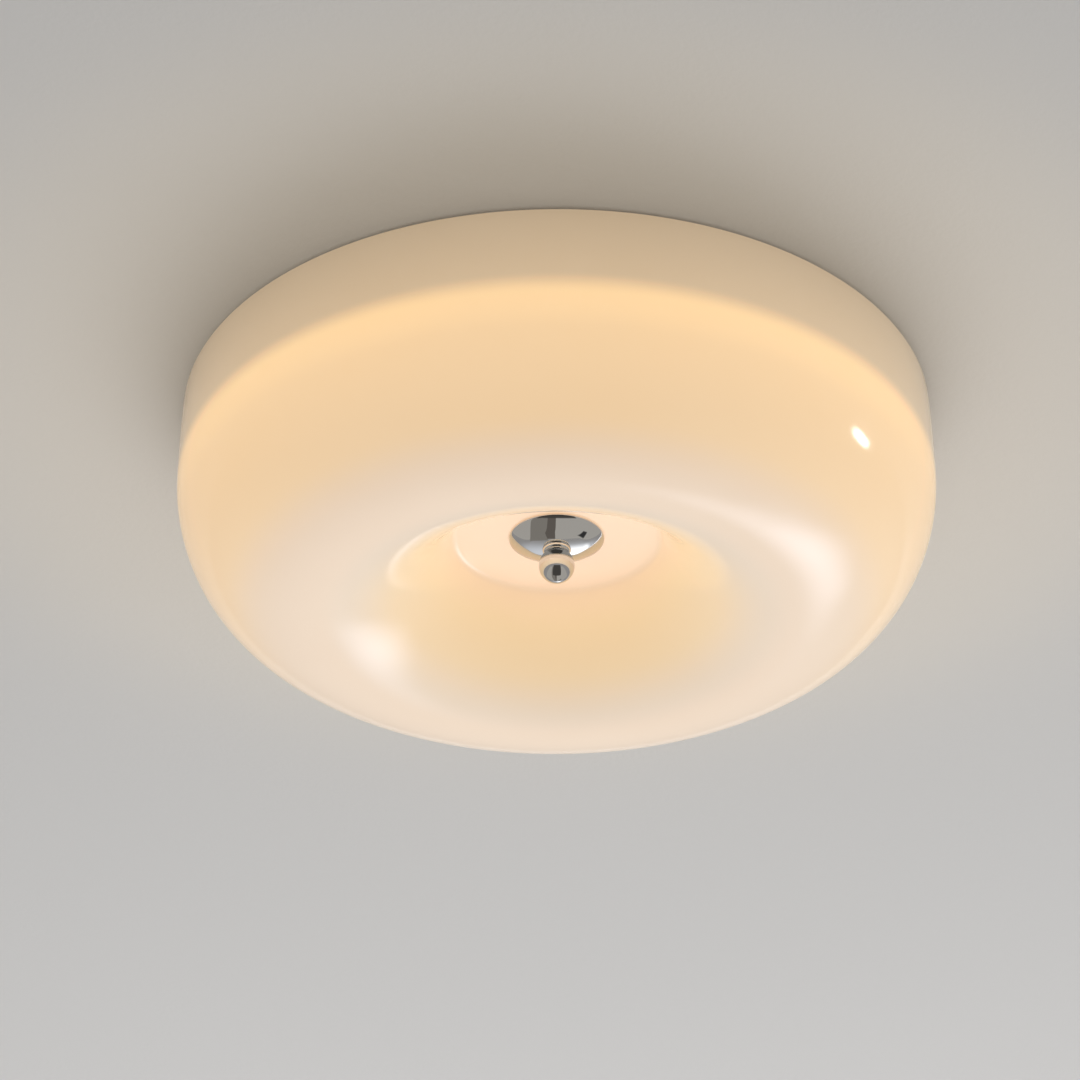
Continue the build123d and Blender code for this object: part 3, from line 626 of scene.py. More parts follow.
@contextmanager
def shaping(mesh):
    """Opens a mesh as a bmesh, and writes it back at the end."""
    work = bmesh.new()
    work.from_mesh(mesh)
    yield work
    work.to_mesh(mesh)
    work.free()


def outward(mesh):
    """The same mesh with its faces pointing outwards."""
    with shaping(mesh) as work:
        bmesh.ops.recalc_face_normals(work, faces=work.faces)
    return mesh


def joined(*meshes):
    """Several meshes as one, with the material of the first."""
    result = bpy.data.meshes.new("joined")
    with shaping(result) as work:
        for mesh in meshes:
            work.from_mesh(mesh)
    if meshes[0].materials:
        result.materials.append(meshes[0].materials[0])
    return result


def moved(mesh, place):
    mesh.transform(Matrix.Translation(place))
    return mesh


def turned(points, material, closed=True, segments=96):
    """A piece of revolution from points (radius, height), its faces pointing outwards."""
    outline = bpy.data.meshes.new("outline")
    corners = [(r - 1.0, -z, 0.0) for r, z in points]  # the sweep's circle has a radius of 1
    edges = [(index, index + 1) for index in range(len(corners) - 1)]
    if closed:
        edges.append((len(corners) - 1, 0))
    outline.from_pydata(corners, edges, [])
    return outward(run_tree(turned_tree(), outline, Segments=segments, Material=material))


def stand_for(name, mesh, body, slot, *nodes):
    """Puts a finished mesh in the scene as a piece that rides on a body and stands for CAD nodes."""
    mesh.name = name
    piece = placed(name, mesh)
    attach(piece, body)
    if nodes:
        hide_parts(*nodes)
    return piece


def finish_node(material, *nodes):
    """Gives CAD nodes a finish."""
    for node in nodes:
        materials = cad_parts[node].data.materials
        materials.clear()
        materials.append(material)


def staged(name, mesh, material, **flags):
    """Puts a mesh in the scene as part of the stage."""
    mesh.materials.append(material)
    thing = placed(name, mesh)
    for key, value in flags.items():
        setattr(thing, key, value)


def rounded(corners, steps=4):
    """An outline whose corners (radius, height, rounding) are short arcs, with a point beside each arc."""
    points = []
    for index, (r, z, rounding) in enumerate(corners):
        here = Vector((r, z))
        if rounding <= 0:
            points.append((r, z))
            continue
        back = Vector(corners[index - 1][:2]) - here
        on = Vector(corners[(index + 1) % len(corners)][:2]) - here
        half = back.angle(on) / 2
        cut = min(rounding / math.tan(half), 0.4 * back.length, 0.4 * on.length)
        back.normalize()
        on.normalize()
        centre = here + (back + on).normalized() * (cut / math.cos(half))
        first = here + back * cut - centre
        sweep = first.angle_signed(here + on * cut - centre)
        points.append(tuple(here + back * cut * 1.2))
        for step in range(steps + 1):
            turn = -sweep * step / steps
            points.append((
                centre.x + first.x * math.cos(turn) - first.y * math.sin(turn),
                centre.y + first.x * math.sin(turn) + first.y * math.cos(turn),
            ))
        points.append(tuple(here + on * cut * 1.2))
    return points


def arc(centre, radius, start, end, steps):
    """Points of an arc in the outline's plane, angles in radians from +radius towards +Z."""
    across, up = radius if isinstance(radius, tuple) else (radius, radius)
    turns = (start + (end - start) * step / steps for step in range(steps + 1))
    return [(centre[0] + across * math.cos(turn), centre[1] + up * math.sin(turn)) for turn in turns]


def ring_outline(outer, bore, top, bottom, rounding):
    """Outline of a washer or sleeve."""
    corners = ((outer, top), (outer, bottom), (bore, bottom), (bore, top))
    return rounded([(*corner, rounding) for corner in corners])


def block(low, high, rounding, steps=2):
    """A box between two corners, its edges rounded."""
    mesh = bpy.data.meshes.new("block")
    middle, size = (Vector(low) + Vector(high)) / 2, Vector(high) - Vector(low)
    with shaping(mesh) as work:
        bmesh.ops.create_cube(work, size=1.0)
        for vertex in work.verts:
            vertex.co = middle + Vector(across * part for across, part in zip(size, vertex.co))
        bmesh.ops.bevel(
            work, geom=work.edges[:], offset=rounding, segments=steps, profile=0.5, affect="EDGES"
        )
    return mesh


def stacked(centre, half_x, half_y, corner, levels):
    """A closed case of rounded rectangles, one at each level (height, inset), from the lowest up."""
    mesh = bpy.data.meshes.new("case")
    with shaping(mesh) as work:
        loops = []
        for height, inset in levels:
            radius = max(corner - inset, 0.0004)
            flat_x, flat_y = half_x - inset - radius, half_y - inset - radius
            loop = []
            for quarter, (sign_x, sign_y) in enumerate(((1, 1), (-1, 1), (-1, -1), (1, -1))):
                middle = (centre[0] + sign_x * flat_x, centre[1] + sign_y * flat_y)
                start = math.pi / 2 * quarter
                for x, y in arc(middle, radius, start, start + math.pi / 2, 6):
                    loop.append(work.verts.new((x, y, height)))
            loops.append(loop)
        count = len(loops[0])
        for lower, upper in zip(loops, loops[1:]):
            for index in range(count):
                after = (index + 1) % count
                work.faces.new((lower[index], lower[after], upper[after], upper[index]))
        work.faces.new(loops[0][::-1])
        work.faces.new(loops[-1])
    return mesh


def flat_ring(name, inner_radius, outer_radius, segments, height, up):
    """A flat ring round the Z axis, facing up or down."""
    mesh = bpy.data.meshes.new(name)
    with shaping(mesh) as work:
        inner, outer = (
            bmesh.ops.create_circle(work, segments=segments, radius=radius)["verts"]
            for radius in (inner_radius, outer_radius)
        )
        for index in range(segments):
            after = (index + 1) % segments
            work.faces.new((inner[index], inner[after], outer[after], outer[index]))
        bmesh.ops.translate(work, verts=work.verts, vec=(0, 0, height))
    if (mesh.polygons[0].normal.z > 0) != up:
        mesh.flip_normals()
    return mesh


def smoothed(mesh, material):
    """The mesh with its material, smooth but for its sharp edges."""
    mesh.materials.clear()
    mesh.materials.append(material)
    mesh.shade_smooth()
    mesh.set_sharp_from_angle(angle=math.radians(CREASE))
    return mesh


def threaded(core, radius, pitch, low, high, material, steps=16):
    """A plain bar with a thread wound round it between two heights, its faces pointing outwards."""
    return outward(run_tree(
        thread_tree(), core, Radius=radius, Pitch=pitch, Top=high, Bottom=low, Steps_per_Turn=steps,
        Material=material,
    ))


def screw(node, seat, head_r, shank_r, pitch):
    """A pan-head screw on the Z axis that points up, as tall as a CAD node, with a cross in its head."""
    low, tip = heights(node)
    head, core = seat - low, shank_r - THREAD_DEPTH * pitch
    outline = [
        (0.0, low), (head_r * 0.55, low), (head_r * 0.84, low + head * 0.14),
        (head_r * 0.97, low + head * 0.42), (head_r, low + head * 0.7), (head_r, seat - 0.0001),
        (head_r - 0.0001, seat), (core, seat), (core, tip - core * 0.5), (core * 0.5, tip), (0.0, tip),
    ]
    blank = turned(outline, zinc_plate(), closed=False, segments=32)
    crossed = run_tree(
        recess_tree(), blank, Reach=head_r * 1.1, Width=head_r * 0.24, Depth=head * 0.6, Underside=low,
        Material=zinc_plate(),
    )
    return threaded(crossed, shank_r, pitch, seat + pitch, tip - core * 0.6, zinc_plate())


def studs(node, *places):
    """Threaded studs as tall as a CAD node's, at each x, on the middle line of its box."""
    low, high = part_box(node)
    pitch, tip = 0.0005, 0.0004
    core = STUD_RADIUS - THREAD_DEPTH * pitch
    outline = [(0.0, low.z), (core, low.z), (core, high.z - tip), (core * 0.6, high.z), (0.0, high.z)]
    pins = []
    for x in places:
        blank = turned(outline, zinc_plate(), closed=False, segments=24)
        pin = threaded(blank, STUD_RADIUS, pitch, low.z + 3 * tip, high.z - tip, zinc_plate())
        pins.append(moved(pin, (x, (low.y + high.y) / 2, 0.0)))
    return joined(*pins)


# ---- the pieces ----

def recess_side(glass, inset):
    """From the crest ring up the recess wall and round onto the floor, inset into the glass."""
    half_r = glass.recess_half_width - inset
    half_z = glass.recess_half_height - inset
    centre_z = glass.recess_half_height - glass.shade_depth
    floor_z = glass.recess_depth - glass.shade_depth + inset
    corner, steps = glass.floor_corner, 40

    def wall(turn):
        """A point of the wall's ellipse, and the way out of the glass there."""
        spot = Vector((glass.crest_radius - half_r * math.sin(turn), centre_z - half_z * math.cos(turn)))
        return spot, Vector((-math.sin(turn) / half_r, -math.cos(turn) / half_z)).normalized()

    low, high = 0.0, math.acos((centre_z - floor_z) / half_z)
    for _ in range(40):
        middle = (low + high) / 2
        spot, out = wall(middle)
        if spot.y + corner * out.y < floor_z - corner:
            low = middle
        else:
            high = middle
    points = [tuple(wall(high * step / steps)[0]) for step in range(steps + 1)]
    spot, out = wall(high)
    centre = spot + corner * out
    points += arc(centre, corner, math.atan2(-out.y, -out.x), math.pi / 2, 8)[1:]
    width = centre.x - glass.hole_radius
    return points + [(centre.x - width * share, floor_z) for share in (0.03, 0.2, 0.5, 0.8, 0.97)]


def bowl_side(glass, inset):
    """From the wall near the rim down round the bowl to just before the crest ring, inset into the glass."""
    rise = glass.widest_drop - glass.rim_gap
    wall_radius = (glass.rim_draw**2 + rise**2) / (2 * glass.rim_draw)
    radius = glass.shade_radius - inset
    points = []
    for step in range(12):
        height = rise * (0.94 - 0.94 * step / 12)
        across = radius - wall_radius + math.sqrt(wall_radius**2 - height**2)
        points.append((across, height - glass.widest_drop))
    axes = (radius - glass.crest_radius, glass.shade_depth - glass.widest_drop - inset)
    return points + arc((glass.crest_radius, -glass.widest_drop), axes, 0.0, -math.pi / 2, 48)[:-1]


class LAMP_OT_glass_shade(bpy.types.Operator):
    """Turns the opal glass bowl from its outline, outside and inside"""

    bl_idname = "lamp.glass_shade"
    bl_label = "Glass Shade"

    def execute(self, context):
        glass = context.scene.opal_glass
        wall, hole_r, rim_z = glass.wall, glass.hole_radius, -glass.rim_gap
        rim_r = glass.shade_radius - glass.rim_draw
        floor_z = glass.recess_depth - glass.shade_depth
        rim = rounded(
            [(rim_r, rim_z - 0.003, 0), (rim_r, rim_z, wall * 0.4), (rim_r - wall, rim_z, wall * 0.4),
             (rim_r - wall, rim_z - 0.003, 0)],
            steps=6,
        )[1:-1]
        hole = rounded([
            (hole_r + 0.001, floor_z, 0), (hole_r, floor_z, 0.0004), (hole_r, floor_z + wall, 0.0004),
            (hole_r + 0.001, floor_z + wall, 0),
        ])[1:-1]
        inside = recess_side(glass, wall)[::-1] + bowl_side(glass, wall)[::-1]
        outline = bowl_side(glass, 0.0) + recess_side(glass, 0.0) + hole + inside + rim[::-1]
        mesh = turned(outline, opal_glass(), segments=glass.segments)
        stand_for("opal_bowl", mesh, "shade", "opal_glass", "glass_shade")
        return {"FINISHED"}


class LAMP_OT_chrome_cap(bpy.types.Operator):
    """Turns the domed chrome cap that hides the hole in the glass"""

    bl_idname = "lamp.chrome_cap"
    bl_label = "Chrome Cap"

    def execute(self, context):
        chrome = context.scene.chrome_fittings
        rim_r, top, roll_r = chrome.cap_radius, -chrome.cap_top, chrome.roll_radius
        hole = context.scene.lamp_chassis.thread_radius + ROD_PLAY
        slope = math.asin(chrome.flat_radius / chrome.dome_radius)
        middle_z = chrome.dome_radius - chrome.cap_apex
        joint_z = middle_z - chrome.dome_radius * math.cos(slope)
        down = math.pi / 2

        def profile(inset):
            """The dome from the rod's hole outwards, then the tighter roll down to the rim."""
            radius = chrome.dome_radius - inset
            dome = arc((0.0, middle_z), radius, math.asin(hole / radius) - down, slope - down, 14)
            centre = (chrome.flat_radius - roll_r * math.sin(slope), joint_z + roll_r * math.cos(slope))
            last = math.asin((rim_r - chrome.edge_radius - centre[0]) / roll_r)
            return dome + arc(centre, roll_r - inset, slope - down, last - down, 16)[1:]

        under, over = profile(0.0), profile(chrome.cap_thickness)
        edge = rounded(
            [(*under[-1], 0), (rim_r, under[-1][1] + 0.0003, chrome.edge_radius), (rim_r, top, 0.0001),
             (over[-1][0], top, 0.0001), (*over[-1], 0)],
            steps=5,
        )
        mesh = turned(under[:-1] + edge + over[:-1][::-1], polished_chrome(), segments=160)
        stand_for("chrome_cap", mesh, "shade", "polished_chrome", "cap_disc")
        return {"FINISHED"}


class LAMP_OT_ball_finial(bpy.types.Operator):
    """Turns the ball finial on its bead collar, with the bore for the rod"""

    bl_idname = "lamp.ball_finial"
    bl_label = "Ball Finial"

    def execute(self, context):
        chrome = context.scene.chrome_fittings
        radius, top = chrome.ball_radius, -chrome.collar_top
        neck, bead_r, bead_out, bead_half = 0.0066, 0.0060, 0.0015, 0.00175
        centre_z, bead_z = radius - chrome.ball_drop, top - bead_half
        neck_z = centre_z + math.sqrt(radius**2 - neck**2)
        ball = arc((0.0, centre_z), radius, -math.pi / 2, math.asin((neck_z - centre_z) / radius), 64)
        ball[0] = (0.0, ball[0][1])
        throat = [(neck - 0.0001, neck_z + 0.0002), (neck - 0.00015, (neck_z + bead_z - bead_out) / 2)]
        turn = math.radians(72)
        bead = arc((bead_r, bead_z), (bead_out, bead_half), -turn, turn, 18)
        bore_r, lead = context.scene.lamp_chassis.thread_radius + 0.00005, 0.0003
        bore_end = heights("centre_rod")[0] - 0.001
        bore = [(bore_r + lead, top), (bore_r, top - lead), (bore_r, bore_end), (0.0, bore_end - 2 * lead)]
        mesh = turned(ball + throat + bead + bore, polished_chrome(), closed=False, segments=128)
        finial = stand_for("ball_finial", mesh, "finial", "polished_chrome", "finial_knob")
        finial.visible_glossy = False  # the cap mirrors the room, not the ball
        return {"FINISHED"}


class LAMP_OT_clamp_stack(bpy.types.Operator):
    """Turns the washers, the sleeve, the stop disc and the bush that clamp the glass"""

    bl_idname = "lamp.clamp_stack"
    bl_label = "Clamp Stack"

    def execute(self, context):
        bore = context.scene.lamp_chassis.thread_radius + ROD_PLAY
        steel = turned_steel()
        silicone = grained(
            "Milky Silicone", (0.72, 0.72, 0.69), 0.00004, 700.0, 0.03,
            Roughness=0.42, Subsurface_Weight=0.3, Subsurface_Scale=0.002,
        )
        nylon = grained("Natural Nylon", (0.80, 0.78, 0.70), 0.00003, 900.0, 0.03, Roughness=0.38)
        for name, node, body, slot, material, rounding in (
            ("steel_sleeve", "spacer_sleeve", "root", "zinc_steel", steel, 0.0003),
            ("steel_stop_disc", "stop_disc", "root", "zinc_steel", steel, 0.0003),
            ("upper_rod_washer", "rod_washer_upper", "root", "zinc_steel", steel, 0.00015),
            ("lower_rod_washer", "rod_washer_lower", "root", "zinc_steel", steel, 0.00015),
            ("silicone_washer", "glass_washer", "shade", "clear_silicone", silicone, 0.0004),
            ("silicone_cap_washer", "cap_washer", "shade", "clear_silicone", silicone, 0.0004),
            ("nylon_bush", "centring_bush", "shade", "natural_nylon", nylon, 0.0002),
            ("nylon_finial_washer", "finial_washer", "finial_washer", "natural_nylon", nylon, 0.0001),
        ):
            low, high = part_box(node)
            outline = ring_outline(high.x, bore, high.z, low.z, rounding)
            piece = stand_for(name, turned(outline, material), body, slot, node)
            piece.visible_glossy = node != "finial_washer"
        return {"FINISHED"}


class LAMP_OT_threaded_rod(bpy.types.Operator):
    """Cuts the hollow rod's thread as a ridge that winds round its core"""

    bl_idname = "lamp.threaded_rod"
    bl_label = "Threaded Rod"

    def execute(self, context):
        chassis = context.scene.lamp_chassis
        radius, pitch, steel = chassis.thread_radius, chassis.thread_pitch, turned_steel()
        low, high = heights("centre_rod")
        bore, bare = 0.0032, 0.0006
        outline = ring_outline(radius - THREAD_DEPTH * pitch, bore, high, low, 0.0003)
        tube = turned(outline, steel, segments=56)
        mesh = threaded(tube, radius, pitch, low + bare, high - bare, steel, steps=28)
        rod = stand_for("threaded_rod", mesh, "root", "zinc_steel", "centre_rod")
        rod.visible_glossy = False
        finish_node(zinc_plate(), "rod_nut_upper", "rod_nut_lower")
        return {"FINISHED"}


class LAMP_OT_led_board(bpy.types.Operator):
    """Fills the rings of LEDs, and finishes the board, its connector and the grommet for its wires"""

    bl_idname = "lamp.led_board"
    bl_label = "LED Board"

    def execute(self, context):
        chassis = context.scene.lamp_chassis
        parts = self.package(), self.window()
        finishes = (
            grained("LED Package", (0.84, 0.84, 0.80), 0.00001, 3000.0, 0.02, Roughness=0.4), phosphor()
        )
        rings = ([], [])
        step = (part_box("led_board")[1].x - chassis.board_bore) / chassis.led_rings
        for number in range(chassis.led_rings):
            radius = chassis.board_bore + (number + 0.5) * step
            count = round(2 * math.pi * radius / chassis.led_pitch)
            for part, material, ring in zip(parts, finishes, rings):
                ring.append(run_tree(
                    ring_tree(), part, Count=count, Radius=radius, Start_Angle=math.pi / count,
                    Material=material,
                ))
        stand_for("led_packages", joined(*rings[0]), "root", "white_plastic", "led_chips")
        stand_for("led_windows", joined(*rings[1]), "root", "led_phosphor")
        finish_node(solder_mask(), "led_board")
        plastic = grained("White Plastic", (0.84, 0.84, 0.82), 0.00002, 800.0, 0.02, Roughness=0.28)
        finish_node(plastic, "board_connector")
        self.grommet()
        return {"FINISHED"}

    def package(self):
        """The body of one LED, the middle of its lowest face sunk for its window."""
        (x, y), (low, high) = LED_HALF, heights("led_chips")
        lip, slope, sink = 0.00038, 0.00004, 0.00014
        mesh = block((-x, -y, low), (x, y, high), 0.00012, 1)
        with shaping(mesh) as work:
            under = min(work.faces, key=lambda face: face.calc_center_median().z)
            for inset, depth in ((lip, 0.0), (slope, -sink)):
                bmesh.ops.inset_region(
                    work, faces=[under], thickness=inset, depth=depth, use_even_offset=True
                )
        return mesh

    def window(self):
        """The window in one LED."""
        rim, sill, back = 0.0003, 0.00006, 0.0004
        (x, y), low = (side - rim for side in LED_HALF), heights("led_chips")[0]
        return block((-x, -y, low + sill), (x, y, low + back), 0.00008, 1)

    def grommet(self):
        low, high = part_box("wire_grommet")
        lip_r, waist_r, bore_r, lip = (high.x - low.x) / 2, 0.0045, 0.0029, 0.0012
        outline = rounded([
            (lip_r, high.z, 0.0005), (lip_r, high.z - lip, 0.0001), (waist_r, high.z - lip, 0.0001),
            (waist_r, low.z + lip, 0.0001), (lip_r, low.z + lip, 0.0001), (lip_r, low.z, 0.0005),
            (bore_r, low.z, 0.0003), (bore_r, high.z, 0.0003),
        ])
        rubber = grained("Grey Rubber", (0.075, 0.075, 0.08), 0.00005, 1500.0, 0.08, Roughness=0.62)
        place = ((low.x + high.x) / 2, (low.y + high.y) / 2, 0.0)
        mesh = moved(turned(outline, rubber, segments=64), place)
        stand_for("rubber_grommet", mesh, "root", "grey_rubber", "wire_grommet")


class LAMP_OT_screws(bpy.types.Operator):
    """Makes the screws of the pan and the board, and their washers"""

    bl_idname = "lamp.screws"
    bl_label = "Screws"

    def execute(self, context):
        zinc, head_r = zinc_plate(), 0.0028
        blank = screw("board_screws", heights("led_board")[0], head_r, shank_r=0.0015, pitch=0.0005)
        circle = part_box("board_screws")[1].x - head_r
        mesh = run_tree(ring_tree(), blank, Count=6, Radius=circle, Material=zinc)
        stand_for("board_fixing_screws", mesh, "root", "zinc_steel", "board_screws")
        seat, top = heights("chassis_washers")
        from_middle = 0.05  # to each screw of the pan
        washer = ring_outline(0.0045, 0.00215, top, seat, 0.00012)
        blank = screw("chassis_screws", seat, head_r=0.004, shank_r=0.002, pitch=0.0007)
        for name, part, node in (
            ("chassis_fixing_screws", blank, "chassis_screws"),
            ("chassis_fixing_washers", turned(washer, zinc, segments=48), "chassis_washers"),
        ):
            start = (-from_middle, 0.0, 0.0)
            mesh = run_tree(row_tree(), part, Count=2, Spacing=2 * from_middle, Start=start, Material=zinc)
            stand_for(name, mesh, "root", "zinc_steel", node)
        return {"FINISHED"}


class LAMP_OT_pan(bpy.types.Operator):
    """Finishes the pan, the ceiling bracket and its press nuts"""

    bl_idname = "lamp.pan"
    bl_label = "Pan and Bracket"

    def execute(self, context):
        tint = tuple(context.scene.lamp_chassis.enamel_colour)
        enamel = grained("White Enamel", tint, 0.00006, 350.0, 0.02, Roughness=0.32, Coat_Weight=0.3)
        finish_node(enamel, "chassis_pan")
        finish_node(zinc_plate(), "ceiling_bracket", "bracket_nuts")
        return {"FINISHED"}


class LAMP_OT_driver(bpy.types.Operator):
    """Builds the LED driver's case, with its lid, ribs, ears and wire clamps, and the studs that hold it"""

    bl_idname = "lamp.driver"
    bl_label = "LED Driver"

    def execute(self, context):
        low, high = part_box("led_driver")
        ear, corner, bottom, top = 0.01, 0.003, low.z, high.z
        seam, wire_z = top - 0.0042, (bottom + top) / 2
        middle = ((low.x + high.x) / 2, (low.y + high.y) / 2)
        half_x, half_y = (high.x - low.x) / 2 - ear, (high.y - low.y) / 2
        case = stacked(middle, half_x, half_y, corner, [
            (bottom, 0.0003), (bottom + 0.0003, 0.0), (seam - 0.0004, 0.0), (seam - 0.0002, 0.0004),
            (seam + 0.0002, 0.0004), (seam + 0.0004, 0.0), (top - 0.0015, 0.0), (top - 0.0007, 0.0003),
            (top - 0.0002, 0.0008), (top, 0.0015), (top, 0.0040), (top - 0.0004, 0.0043),
            (top - 0.0004, 0.0050), (top, 0.0053),
        ])
        ears = stacked(middle, half_x + ear, 0.010, corner, [
            (bottom, 0.0002), (bottom + 0.0002, 0.0), (bottom + 0.0026, 0.0), (bottom + 0.0029, 0.0002),
            (bottom + 0.003, 0.0005),
        ])
        rib = block((-0.0008, -0.013, -0.0002), (0.0008, 0.013, 0.0005), 0.0003)
        count, spacing = 15, 0.0056
        start = (middle[0] - spacing * (count - 1) / 2, middle[1], top)
        ribs = run_tree(row_tree(), rib, Count=count, Spacing=spacing, Start=start)
        clamp_y, clamp_z, inner, outer = 0.0065, 0.003, 0.0015, 0.0018
        clamps = [
            block((end - inner, middle[1] - clamp_y, wire_z - clamp_z),
                  (end + outer, middle[1] + clamp_y, wire_z + clamp_z), 0.0010, 3)
            for end in (middle[0] - half_x, middle[0] + half_x)
        ]
        plastic = grained("Driver Plastic", (0.76, 0.76, 0.74), 0.00012, 1100.0, 0.03, Roughness=0.5)
        mesh = smoothed(joined(case, ears, ribs, *clamps), plastic)
        stand_for("driver_housing", mesh, "root", "driver_plastic", "led_driver")
        reach = 0.07  # from the middle to each stud
        pair = studs("driver_studs", middle[0] - reach, middle[0] + reach)
        stand_for("driver_fixing_studs", pair, "root", "zinc_steel", "driver_studs")
        finish_node(zinc_plate(), "driver_nuts")
        return {"FINISHED"}


class LAMP_OT_terminals(bpy.types.Operator):
    """Finishes the terminal block and the earth connection"""

    bl_idname = "lamp.terminals"
    bl_label = "Terminals"

    def execute(self, context):
        nylon = grained(
            "Terminal Nylon", (0.80, 0.80, 0.76), 0.00003, 700.0, 0.02,
            Roughness=0.36, Subsurface_Weight=0.2, Subsurface_Scale=0.001,
        )
        finish_node(nylon, "terminal_block")
        finish_node(zinc_plate(), "terminal_nuts", "earth_nut")
        finish_node(plated("Brass", (0.70, 0.50, 0.21), 0.2, 0.36), "terminal_screws", "earth_terminal")
        low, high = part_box("terminal_studs")
        pair = studs("terminal_studs", low.x + STUD_RADIUS, high.x - STUD_RADIUS)
        stand_for("terminal_fixing_studs", pair, "root", "zinc_steel", "terminal_studs")
        low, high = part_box("earth_stud")
        single = studs("earth_stud", (low.x + high.x) / 2)
        stand_for("earth_fixing_stud", single, "root", "zinc_steel", "earth_stud")
        return {"FINISHED"}


class LAMP_OT_wiring(bpy.types.Operator):
    """Finishes the wires in the colours of their poles"""

    bl_idname = "lamp.wiring"
    bl_label = "Wiring"

    def execute(self, context):
        for node, name, base in (
            ("line_wire", "Brown Insulation", (0.105, 0.042, 0.020)),
            ("neutral_wire", "Blue Insulation", (0.015, 0.075, 0.36)),
            ("led_wire_positive", "Red Insulation", (0.45, 0.012, 0.010)),
            ("led_wire_negative", "Black Insulation", (0.012, 0.012, 0.013)),
        ):
            finish_node(
                grained(name, base, 0.00001, 2600.0, 0.04, Roughness=0.36, Coat_Weight=0.1), node
            )
        finish_node(striped_insulation(), "earth_wire")
        return {"FINISHED"}


